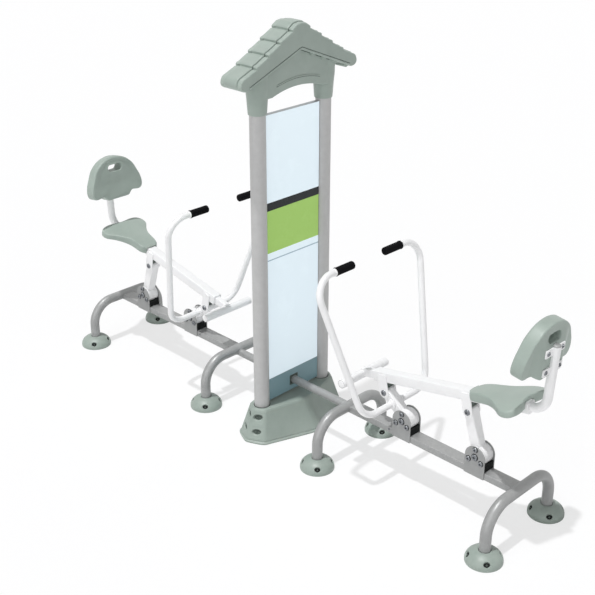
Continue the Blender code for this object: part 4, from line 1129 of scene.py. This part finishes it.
def build_soffit():
    """Under each course, a round wave from front to rear that is sunk in the barge's edge."""
    reach = np.linspace(WAVE_INSET - ROOF_HALF_DEPTH, ROOF_HALF_DEPTH - WAVE_INSET, 5)
    waves = []
    for side, course in product(SIDES, range(COURSES)):
        y = RIDGE_HALF + (course + WAVE_PLACE) * COURSE_RUN
        path = np.column_stack([reach, np.full(5, side * y), np.full(5, barge_line(y) + WAVE_RISE)])
        waves.append(sweep(path, WAVE_RADIUS, UP, 28))
    make_piece("soffit_waves", "frame", waves, "sage")


def build_sleeves():
    """A lathe about each post's top: the sleeve widens upwards until the gable takes it up."""
    bore = POST_RADIUS + SLEEVE_GAP
    widest = bore + SLEEVE_WALL
    profile = [(bore, SLEEVE_LOW)] + [(bore + out, SLEEVE_LOW + rise) for out, rise in SLEEVE_SIDE]
    profile += [(widest, SLEEVE_TOP - SLEEVE_TAPER), (widest, SLEEVE_TOP), (bore, SLEEVE_TOP)]
    for hand, side in HANDS:
        sleeve = lathe(soften(profile, SLEEVE_EDGE, 4, True), (0, side * POST_SPREAD, 0), UP, 72)
        make_piece("roof_sleeve_" + hand, "frame", [sleeve], "sage", looped=True)


# Ground frame

def arch_reach(level):
    """How far an arch's round top tube stands out at a level: sqrt(radius^2 - rise^2)."""
    return np.sqrt(np.clip(LEG ** 2 - (level - ARCH_TOP) ** 2, 0, None))


def build_arches():
    """A tube swept along two feet and a crossbar, with a round plate under each foot."""
    for end, x in ARCHES:
        corners = [(x, -FOOT, LEG_START), (x, -FOOT, ARCH_TOP), (x, FOOT, ARCH_TOP), (x, FOOT, LEG_START)]
        grids = [sweep(bent(corners, (ARCH_BEND, ARCH_BEND), 28), LEG, AHEAD, 48)]
        grids += [disc((x, side * FOOT, 0), UP, *FOOT_PLATE) for side in SIDES]
        make_pair(end + "_arch_tube", "frame", grids, "grey", [end + "_arch"])


def build_spine_and_link():
    """The spine is a carried rectangle. The link tube's rows stretch until they meet the front arch."""
    corners = (-SPINE_HALF, SPINE_FOOT), (SPINE_HALF, SPINE_TOP)
    spine = slab(rectangle(*corners, SPINE_CORNER), FRONT_ARCH, REAR_ARCH, SPINE_EDGE, lengthwise, 1)
    make_pair("spine_tube", "frame", [spine], "grey", ["spine"])
    sides, count = 48, 12
    angle = turns(sides)
    y, z = LINK * np.cos(angle), LINK_LEVEL + LINK * np.sin(angle)
    stop = FRONT_ARCH - arch_reach(z) + LINK_OVERLAP
    share = np.linspace(0, 1, count)[:, None]
    x = LINK_START + (stop - LINK_START) * share
    link = np.stack([x, np.broadcast_to(y, x.shape), np.broadcast_to(z, x.shape)], -1)
    make_pair("link_tube_body", "frame", [link], "grey", ["link_tube"])
    # A square plate round the tube's end and a thin ring where the tube meets the board, both in the painted
    # shade finish: the plate's darkness is partly painted shade, and the ring is painted shade.
    half = LINK_PLATE_HALF
    plate = rectangle((-half, LINK_LEVEL - half), (half, LINK_LEVEL + half), LINK_PLATE_CORNER)
    plate = slab(spread(plate, 120), *LINK_PLATE_ENDS, LINK_EDGE, lengthwise)
    make_pair("link_plate", "frame", [plate], "joint")
    ring = band(LINK, LINK + LINK_SHADE_RING_WALL, *LINK_SHADE_RING_ENDS, LINK_EDGE, closed=True)
    make_pair("link_tube_seal", "frame", [lathe(ring, (0, 0, LINK_LEVEL), AHEAD)], "joint", looped=True)
    rise = (z - LINK_LEVEL) * LINK_WELD_SHARE
    ring = np.stack([stop - LINK_OVERLAP, y * LINK_WELD_SHARE, LINK_LEVEL + rise], 1)
    beads = [bead(ring, FRAME_WELD)]
    loop = spread(rectangle(*corners, SPINE_WELD_CORNER), 96)
    for x, sign in ((FRONT_ARCH, 1), (REAR_ARCH, -1)):
        beads.append(bead(np.column_stack([x + sign * arch_reach(loop[:, 1]), loop]), FRAME_WELD))
    make_pair("frame_weld_beads", "frame", beads, "grey", looped=True)


def cap_grid(x, y):
    """A dome whose radius and height follow a quarter ellipse, with four oval wells on its diagonals."""
    turn = np.linspace(0, math.acos(CAP_NECK / CAP), 46)
    height = CAP_EDGE + (CAP_HEIGHT - CAP_EDGE) * np.sin(turn) / math.sin(turn[-1])
    rim, bore = np.array(CAP_RIM), np.array(CAP_BORE)
    radius = np.concatenate([CAP - rim[:, 0], CAP * np.cos(turn), bore[:, 0]])
    height = np.concatenate([rim[:, 1], height, CAP_HEIGHT - bore[:, 1]])
    radius, height = radius[:, None], height[:, None]
    angle = turns(240)
    across = (np.mod(angle, math.pi / 2) - math.pi / 4) * radius
    sunk = CAP_WELL_DEPTH * oval_well(across, height - CAP_WELL_LEVEL, CAP_WELL_HALF)
    flat = (radius - sunk)[..., None] * np.stack([np.cos(angle), np.sin(angle)], 1)
    return np.concatenate([flat + (x, y), (height - CAP_WELL_FALL * sunk)[..., None]], -1)


def build_caps():
    """Four screws on dark oval seats stand in each cap's wells, and a thin dark ring lies round the leg above
    it: screws, seats and ring are painted shade.
    """
    away, level = CAP_SCREW_PLACE
    for (end, x), (hand, side) in product(ARCHES, HANDS):
        name, y = "cap_" + end + "_" + hand, side * FOOT
        # The darker sage copy here is painted shade near the ground.
        make_pair(name + "_dome", "frame", [cap_grid(x, y)], "low", [name], sharp=55.0)
        screws, seats = [], []
        for angle in math.pi / 4 + turns(4):
            out = unit(np.array([math.cos(angle), math.sin(angle), CAP_SCREW_RISE]))
            place = np.array([x + away * math.cos(angle), y + away * math.sin(angle), level])
            hold = place - out * CAP_SCREW_SINK
            screws.append(screw(hold, out, *CAP_SCREW))
            seats.append(oval(hold, out, *CAP_SEAT))
        make_pair(name + "_screws", "frame", screws, "joint")
        make_pair(name + "_screw_seats", "frame", seats, "dark")
        shade_ring = band(CAP_SHADE_RING_INNER, CAP_SHADE_RING_OUTER, 0, CAP_SHADE_RING_HEIGHT, CAP_SHADE_RING_EDGE, closed=True)
        shade_ring = lathe(shade_ring, (x, y, CAP_HEIGHT - CAP_SHADE_RING_SINK), UP)
        make_pair(name + "_seal", "frame", [shade_ring], "dark", looped=True)


def build_bracket(end, hand, out, x, z):
    """A bearing plate with a half-round head, and three bolts with washers on a circle about its axle."""
    name = end + "_bracket_" + hand
    left, right, waist = x - BRACKET, x + BRACKET, z - BRACKET_WAIST
    foot = [(left, waist), (left, SPINE_FOOT), (right, SPINE_FOOT), (right, waist)]
    outline = spread(np.vstack([arc((x, z), BRACKET, 0, 180, 40), soften(foot, BRACKET_CORNER, 3)]), 260)
    plate = slab(outline, *sorted((out * BRACKET_INNER, out * BRACKET_OUTER)), BRACKET_EDGE, upright)
    make_pair(name + "_plate", "frame", [plate], "grey", [name])
    face, axis = out * BRACKET_OUTER, (0, out, 0)
    places = [(x + BOLT_CIRCLE * math.cos(angle), face, z + BOLT_CIRCLE * math.sin(angle))
              for angle in np.radians((90, 210, 330))]
    make_pair(name + "_bolts", "frame", [screw(place, axis, *BOLT) for place in places], "steel")
    washers = [disc(place, axis, *WASHER) for place in places]
    washers.append(disc((x, face, z), axis, *AXLE_WASHER))
    # The washers take the dark finish: painted shade round each bolt head and the axle head.
    make_pair(name + "_bolt_seats", "frame", washers, "dark")


def build_bearings():
    """Per axle: two plates, the pin with its heads, and a dark block of painted shade under the hub that an
    arc hollows out.
    """
    for end, (x, z) in (("front", FRONT_AXLE), ("rear", REAR_AXLE)):
        for hand, out in HANDS:
            build_bracket(end, hand, out, x, z)
        pin = [cross_pin(x, z, *AXLE_PIN)]
        pin += [screw((x, out * BRACKET_OUTER, z), (0, out, 0), *AXLE_HEAD) for out in SIDES]
        make_pair(end + "_axle_pin", "frame", pin, "steel", [end + "_axle"])
        left, right = x - SHADE_BLOCK_HALF, x + SHADE_BLOCK_HALF
        shade_block = np.vstack([[(left, SHADE_BLOCK_TOP)], arc((x, z), SHADE_BLOCK_HOLLOW, 212, 328, 40),
                           [(right, SHADE_BLOCK_TOP), (right, SHADE_BLOCK_LOW), (left, SHADE_BLOCK_LOW)]])
        shade_block = slab(spread(shade_block, 300), -SHADE_BLOCK_SIDE, SHADE_BLOCK_SIDE, SHADE_BLOCK_EDGE, upright)
        make_pair(end + "_stop_block", "frame", [shade_block], "dark")
    x, z = SPINE_SCREW_PLACE
    screws = [screw((x, out * SPINE_HALF, z), (0, out, 0), *SPINE_SCREW) for out in SIDES]
    make_pair("spine_side_screws", "frame", screws, "steel")


# Linkage

def lever_grids(axle, pivot):
    """Hub barrel and arm of a lever. The arm has two straight sides and a round end about its pivot."""
    barrel = band(HUB_BORE, HUB, -HUB_SIDE, HUB_SIDE, HUB_EDGE, 4)
    angle = math.degrees(math.atan2(pivot[1] - axle[1], pivot[0] - axle[0]))
    outline = np.vstack([arc(pivot, LEVER_END, angle - 90, angle + 90, 30),
                         arc(axle, LEVER_END, angle + 90, angle + 270, 2)])
    return [lathe(barrel, (axle[0], 0, axle[1]), ACROSS, 72),
            slab(spread(outline, 200), -LEVER_HALF, LEVER_HALF, LEVER_EDGE, upright, 4)]


def build_levers():
    """The front lever carries the handlebar, and the rear one follows."""
    make_pair("front_lever_arm", "lever", lever_grids(FRONT_AXLE, FRONT_PIVOT), "white", ["front_lever"])
    make_pair("rear_lever_arm", "support", lever_grids(REAR_AXLE, REAR_PIVOT), "white", ["rear_lever"])


def build_handlebar():
    """A tube swept along a bent line, with two welded collars at the lever and a flare before each grip."""
    (low_x, low_z), (top_x, top_z) = HANDLE_FOOT, HANDLE_HEAD
    half = [(top_x, GRIP_INNER, top_z), (top_x, HANDLE_HALF, top_z), (low_x, HANDLE_FOOT_HALF, low_z)]
    corners = [(x, -y, z) for x, y, z in half] + half[::-1]
    square = np.cross((low_x - top_x, 0, low_z - top_z), ACROSS)
    grids = [sweep(bent(corners, HANDLE_BENDS, 26), HANDLE_TUBE, square, 40)]
    half = HANDLE_COLLAR_HALF
    collar = band(HANDLE_BORE, HANDLE_COLLAR_RADIUS, -half, half, HANDLE_COLLAR_EDGE, 4)
    flare = [(HANDLE_BORE, -FLARE_HALF), (FLARE_RADIUS, -FLARE_FLAT), (FLARE_RADIUS, FLARE_FLAT),
             (HANDLE_BORE, FLARE_HALF)]
    flare = soften(flare, FLARE_EDGE, 3)
    angle, reach = turns(72), HANDLE_WELD_REACH
    circle = np.stack([low_x + reach * np.cos(angle), 0 * angle, low_z + reach * np.sin(angle)], 1)
    beads = []
    for side in SIDES:
        grids.append(lathe(collar, (low_x, side * HANDLE_COLLAR, low_z), ACROSS))
        grids.append(lathe(flare, (top_x, side * (GRIP_INNER + FLARE_PLACE), top_z), ACROSS))
        beads.append(bead(circle + (0, side * (HANDLE_COLLAR + HANDLE_WELD_OUT), 0), HANDLE_WELD))
    make_pair("handlebar_tube", "lever", grids, "white", ["handlebar"])
    make_pair("handlebar_weld_beads", "lever", beads, "white", looped=True)


def build_grips():
    """A lathe whose radius dips by depth (0.5 + 0.5 cos(2 pi s / pitch))^3, with a thicker inner end."""
    top_x, top_z = HANDLE_HEAD
    ribs = np.linspace(*RIB_SPAN, 229)
    wave = GRIP_RADIUS - RIB_DEPTH * (0.5 + 0.5 * np.cos(2 * math.pi * (ribs - ribs[0]) / RIB_PITCH)) ** 3
    profile = [(GRIP_BORE, 0.0), *GRIP_TIP, *zip(wave, GRIP_LENGTH - ribs[::-1]), *GRIP_NECK,
               (GRIP_BORE, GRIP_LENGTH)]
    for hand, side in HANDS:
        sleeve = lathe(profile, (top_x, side * (GRIP_INNER - GRIP_SHIFT), top_z), (0, side, 0), 56)
        make_pair("grip_" + hand + "_sleeve", "lever", [sleeve], "rubber", ["grip_" + hand])


def build_seat_bar():
    """Carried rectangles for the bar and its neck, and four lugs with a half-round foot about a pivot."""
    def along(points):
        return on_bar(points[..., (2, 1, 0)])

    neck_end = NECK_LENGTH + FOOTREST
    bar = rectangle((-BAR_HALF, BAR_OFFSET - BAR_HALF), (BAR_HALF, BAR_OFFSET + BAR_HALF), BAR_CORNER)
    neck = rectangle((-NECK_HALF, NECK_LOW), (NECK_HALF, NECK_LOW + NECK_DEPTH), NECK_CORNER)
    grids = [slab(bar, neck_end, BAR_REAR, BAR_EDGE, along, 3)]
    grids.append(slab(neck, FOOTREST, neck_end + NECK_OVERLAP, NECK_EDGE, along, 1))
    gap_shade_blocks = []
    for place in (0.0, COUPLER):
        left, right = place - LUG, place + LUG
        head = [(right, LUG_ROUND), (right, LUG_TOP), (left, LUG_TOP), (left, LUG_ROUND)]
        head = soften(head, LUG_CORNER, 4)
        outline = spread(np.vstack([arc((place, 0), LUG, 180, 360, 40), head]), 200)
        for out in SIDES:
            grids.append(slab(outline, *sorted((out * LUG_INNER, out * LUG_OUTER)), LUG_EDGE, on_bar))
        # Between each pair of lugs, under the bar, a block in the painted shade finish stands for the shade
        # there.
        low, high = (left + GAP_BLOCK_EDGE, GAP_BLOCK_LOW), (right - GAP_BLOCK_EDGE, GAP_BLOCK_TOP)
        gap = rectangle(low, high, GAP_BLOCK_CORNER)
        gap_shade_blocks.append(slab(gap, -GAP_BLOCK_SIDE, GAP_BLOCK_SIDE, GAP_BLOCK_EDGE, on_bar))
    make_pair("seat_bar_tube", "seat_frame", grids, "white", ["seat_bar"])
    make_pair("lug_gap_blocks", "seat_frame", gap_shade_blocks, "joint")
    for name, place in (("front", 0.0), ("rear", COUPLER)):
        x, _, z = on_bar(np.array([place, 0.0, 0.0]))
        pins = [cross_pin(x, z, *PIVOT_PIN)]
        pins += [screw((x, out * (LUG_OUTER + PIVOT_HEAD_GAP), z), (0, out, 0), *PIVOT_HEAD) for out in SIDES]
        make_pair("pivot_bolt_" + name + "_heads", "seat_frame", pins, "steel", ["pivot_bolt_" + name])


def build_footrest():
    """A round bar with a domed plug and a rim at each end, and the weld where the neck meets it."""
    x, _, z = on_bar(np.array([FOOTREST, BAR_OFFSET - FOOTREST_DROP, 0.0]))
    tube = cross_pin(x, z, FOOTREST_RADIUS, FOOTREST_HALF, FOOTREST_EDGE, 3, 56)
    make_pair("footrest_tube", "seat_frame", [tube], "white", ["footrest"])
    plug = soften(FOOTREST_PLUG, FOOTREST_PLUG_EDGE, 3)
    ends = [((x, out * (FOOTREST_HALF - FOOTREST_PLUG_SINK), z), (0, out, 0)) for out in SIDES]
    make_pair("footrest_plugs", "seat_frame", [lathe(plug, *end) for end in ends], "white")
    rims = [disc(*end, *FOOTREST_RIM) for end in ends]
    make_pair("footrest_plug_rims", "seat_frame", rims, "grey")
    angle = turns(64)
    along = FOOTREST + (NECK_WELD_START - NECK_WELD_CURVE * np.abs(np.sin(angle)))
    above = NECK_LOW + NECK_DEPTH / 2 + NECK_WELD_HALF * np.sin(angle)
    seam = np.stack([along, above, (NECK_HALF + NECK_WELD_OUT) * np.cos(angle)], 1)
    make_pair("neck_weld_bead", "seat_frame", [bead(on_bar(seam), NECK_WELD)], "white", looped=True)


def build_back_tube():
    """A tube swept round one bend, a domed plug in its end, and two flat straps with two bolts each."""
    start = on_bar(np.array([BACK_TUBE_START, BAR_OFFSET, 0.0]))
    top = on_back(np.array([0.0, BACK_TUBE_TOP, 0.0]))
    line = bent([start, BACK_CORNER, top], [BACK_BEND], 30)
    grids = [sweep(line, BACK_TUBE - BACK_TUBE_GAP, ACROSS, 48)]
    out = unit(np.array([math.cos(BACK_RECLINE), 0, -math.sin(BACK_RECLINE)]))
    bolts = []
    half, depth = STRAP_HALF
    for rise in STRAPS:
        strap = spread(rectangle((-half, rise - depth), (half, rise + depth), STRAP_CORNER), 160)
        grids.append(slab(strap, *STRAP_ENDS, STRAP_EDGE, on_back))
        for side in SIDES:
            hold = on_back(np.array([side * STRAP_BOLT, rise, STRAP_ENDS[0]]))
            bolts += [screw(hold, out, *STRAP_HEAD), disc(hold, out, *STRAP_WASHER)]
    make_pair("back_tube_body", "seat_frame", grids, "white", ["back_tube"])
    make_pair("back_strap_bolts", "seat_frame", bolts, "steel")
    axis = np.array([math.sin(BACK_RECLINE), 0, math.cos(BACK_RECLINE)])
    plug = soften(BACK_PLUG, BACK_PLUG_EDGE, 4)
    make_pair("back_tube_plug", "seat_frame", [lathe(plug, top, axis)], "grey")


def ray_reach(outline, centre, angle):
    """Where rays from a centre leave a closed outline: the outline's radius, read at each angle."""
    offset = outline - centre
    turn = np.arctan2(offset[:, 1], offset[:, 0])
    order = np.argsort(turn)
    radius = np.linalg.norm(offset, axis=1)[order]
    around = np.concatenate([turn[order] - 2 * math.pi, turn[order], turn[order] + 2 * math.pi])
    return np.interp(angle, around, np.tile(radius, 3))


def build_backrest():
    """Rows run round the section, from the handhold's edge over the front, round the rim and back behind it.

    Behind, the panel swells in the middle as far as its straps need, and fades out to its sides and its head.
    """
    shares = mirrored(PANEL_SIDE)
    outline = np.stack([shares[:, 0] * PANEL_HALF, PANEL_LOW + shares[:, 1] * PANEL_HEIGHT], 1)
    outline = spread(soften(outline, PANEL_CORNER, 8, closed=True), 2000)
    straight = SLOT_HALF - SLOT_RADIUS
    slot = spread(np.vstack([arc((straight, SLOT_RISE), SLOT_RADIUS, -90, 90, 60),
                             arc((-straight, SLOT_RISE), SLOT_RADIUS, 90, 270, 60)]), 1200)
    centre = np.array([0.0, SLOT_RISE])
    angle = np.linspace(-math.pi, math.pi, 288, endpoint=False)
    ray = np.stack([np.cos(angle), np.sin(angle)], 1)
    near, far = ray_reach(slot, centre, angle), ray_reach(outline, centre, angle)
    thick, lip, rim, back = PANEL_THICK, PANEL_LIP, PANEL_RIM, PANEL_BACK
    turn = np.linspace(0, math.pi / 2, 8)
    rows = []

    def shares_between(count):
        return np.linspace(0, 1, count)[1:-1]

    def row(radius, ahead):
        points = centre + ray * radius[:, None]
        rows.append(np.column_stack([points, np.broadcast_to(ahead, len(points))]))

    def swell(radius):
        points = centre + ray * radius[:, None]
        wide = 1 - smooth(*SWELL_SIDE_FADE, np.abs(points[:, 0]))
        tall = 1 - smooth(*SWELL_HEAD_FADE, points[:, 1])
        tall = tall * smooth(*SWELL_FOOT_FADE, points[:, 1])
        rear = on_back(np.column_stack([points, np.full(len(points), SWELL_DEPTH)]))
        face = on_panel(np.column_stack([points, np.zeros(len(points))]))
        return -(rear - face)[:, 0] / math.cos(PANEL_RECLINE) * wide * tall

    for a in turn:
        row(near + lip * (1 - math.cos(a)), thick - lip * (1 - math.sin(a)))
    for share in shares_between(14):
        dish = PANEL_DISH * math.sin(math.pi * share) ** 2
        row(near + lip + (far - rim - near - lip) * share, thick - dish)
    for a in turn:
        row(far - rim * (1 - math.sin(a)), thick - rim * (1 - math.cos(a)))
    for share in shares_between(5):
        row(far, thick - rim - (thick - rim - back) * share)
    for a in turn:
        edge = far - back * (1 - math.cos(a))
        row(edge, back * (1 - math.sin(a)) + math.sin(a) * swell(edge))
    for share in shares_between(72):
        across = far - back - (far - back - near - lip) * share
        row(across, swell(across))
    behind = swell(near + lip)
    for a in turn:
        row(near + lip * (1 - math.sin(a)), behind + lip * (1 - math.cos(a)))
    for share in shares_between(6):
        row(near, (behind + lip) * (1 - share) + (thick - lip) * share)
    panel = on_panel(np.stack(rows))
    make_pair("backrest_panel", "seat_frame", [panel], "sage", ["backrest"], looped=True, sharp=60.0)


def build_seat():
    """Rows run from the crown out over the round edge, down the skirt and back in underneath.

    The crown falls with the square of the way out and the cube of the way forward, and dips under the sitter.
    A bay underneath takes the bar.
    """
    side = [(SEAT_HALF * out, -SEAT_NOSE_REACH * along) for along, out in SEAT_NOSE]
    side += [(SEAT_HALF * out, SEAT_TAIL_REACH * along) for along, out in SEAT_TAIL]
    outline = spread(soften(mirrored(side), SEAT_CORNER, 8, closed=True), 320)

    def level(share, drop, underneath=False):
        y, u = outline[:, 0] * share, outline[:, 1] * share
        forward = np.maximum(0, -u / SEAT_NOSE_REACH)
        top = SEAT_CROWN - SEAT_SIDE_FALL * (y / SEAT_HALF) ** 2 - SEAT_NOSE_FALL * forward ** 3
        dip = np.exp(-((u - SEAT_DIP_PLACE) / SEAT_DIP_REACH) ** 2)
        top -= SEAT_DIP * dip * (1 - (y / SEAT_HALF) ** 2)
        bay = 1 - smooth(*SEAT_BAY_FADE, np.abs(y))
        narrow, wide, crown = SEAT_BAY_GAPS
        if underneath:
            under = np.minimum(SEAT_UNDER - SEAT_UNDER_FALL * forward, top - SEAT_WALL)
            height, gap = under + drop * (top - SEAT_EDGE - under), wide if share > SEAT_TURN else narrow
        else:
            height, gap = top - drop, crown
        height = np.maximum(height, bay * (BAR_HALF + gap) + (1 - bay) * -1)
        return on_bar(np.column_stack([SEAT_CENTRE + u, BAR_OFFSET + height, y]))

    rows = [level(share, 0.0) for share in np.linspace(0.0, SEAT_TURN, 26)]
    rows += [level(SEAT_TURN + (1 - SEAT_TURN) * math.sin(a), SEAT_EDGE * (1 - math.cos(a)))
             for a in np.linspace(0, math.pi / 2, 9)[1:]]
    rows += [level(1.0 + SEAT_BULGE * math.sin(math.pi * s), 1 - s, True) for s in SEAT_SKIRT_ROWS]
    rows += [level(share, drop, True) for share, drop in SEAT_UNDER_ROWS]
    make_pair("seat_shell", "seat_frame", [np.stack(rows)], "sage", ["seat"], sharp=60.0)


# Stage

def sun(name, strength, falls, angle, only=()):
    """A distant lamp that falls in a direction. With names in only, it lights those and casts no shadow."""
    lamp = bpy.data.lights.new(name, "SUN")
    lamp.energy = strength
    lamp.angle = math.radians(angle)
    holder = bpy.data.objects.new(name, lamp)
    holder.rotation_euler = Vector(falls).to_track_quat("-Z", "Y").to_euler()
    bpy.context.scene.collection.objects.link(holder)
    if only:
        lamp.use_shadow = False
        receivers = bpy.data.collections.new(name + "_receivers")
        for piece in only:
            receivers.objects.link(bpy.data.objects[piece])
        holder.light_linking.receiver_collection = receivers


def build_floor():
    """A wide square. A glow lifts it towards white for the camera, and other rays see a plain pale floor."""
    size = FLOOR_HALF
    mesh = bpy.data.meshes.new("floor")
    corners = [(-size, -size, 0), (size, -size, 0), (size, size, 0), (-size, size, 0)]
    mesh.from_pydata(corners, [], [(0, 1, 2, 3)])
    floor = bpy.data.objects.new("floor", mesh)
    bpy.context.scene.collection.objects.link(floor)
    made = bpy.data.materials.new("pale_floor")
    made.use_nodes = True
    tree = made.node_tree
    tree.nodes.clear()
    seen = put(tree, "LightPath").outputs["Is Camera Ray"]
    pale = blend_colour(tree, seen, (0.92, 0.92, 0.92, 1), (0.93, 0.93, 0.94, 1))
    diffuse = put(tree, "BsdfDiffuse", Color=pale)
    glow = put(tree, "Emission", Color=(1, 1, 1, 1), Strength=1.0)
    share = calculate(tree, "MULTIPLY", seen, 0.66)
    mix = put(tree, "MixShader", i0=share, i1=diffuse.outputs[0], i2=glow.outputs[0])
    tree.links.new(mix.outputs[0], put(tree, "OutputMaterial").inputs["Surface"])
    mesh.materials.append(made)


def build_world():
    """Even soft light from all round, which the camera and reflections see as white."""
    world = bpy.data.worlds.new("soft_studio")
    bpy.context.scene.world = world
    world.use_nodes = True
    tree = world.node_tree
    tree.nodes.clear()
    path = put(tree, "LightPath").outputs
    white = calculate(tree, "MAXIMUM", path["Is Camera Ray"], path["Is Glossy Ray"])
    sky = put(tree, "Background", Color=(1, 1, 1, 1), Strength=remap(tree, white, 0.0, 1.0, 0.30, 1.0))
    tree.links.new(sky.outputs[0], put(tree, "OutputWorld").inputs["Surface"])


def build_stage():
    """Floor, world, three lamps and the camera at the photograph's angle."""
    build_floor()
    build_world()
    for name, lamp in LAMPS.items():
        sun(name, *lamp)
    camera = bpy.data.cameras.new("camera")
    camera.lens = CAMERA_LENS
    camera.sensor_width = CAMERA_SENSOR
    holder = bpy.data.objects.new("camera", camera)
    holder.location = CAMERA_PLACE
    holder.rotation_euler = [math.radians(turn) for turn in CAMERA_TURN]
    bpy.context.scene.collection.objects.link(holder)
    bpy.context.scene.camera = holder
    bpy.context.scene.view_settings.view_transform = "Standard"


build_stage()
build_posts()
build_plinth()
build_board()
build_roof_shell()
build_gable()
build_soffit()
build_gable_seams()
build_sleeves()
build_arches()
build_spine_and_link()
build_caps()
build_bearings()
build_levers()
build_handlebar()
build_grips()
build_seat_bar()
build_footrest()
build_back_tube()
build_backrest()
build_seat()

bpy.context.view_layer.update()
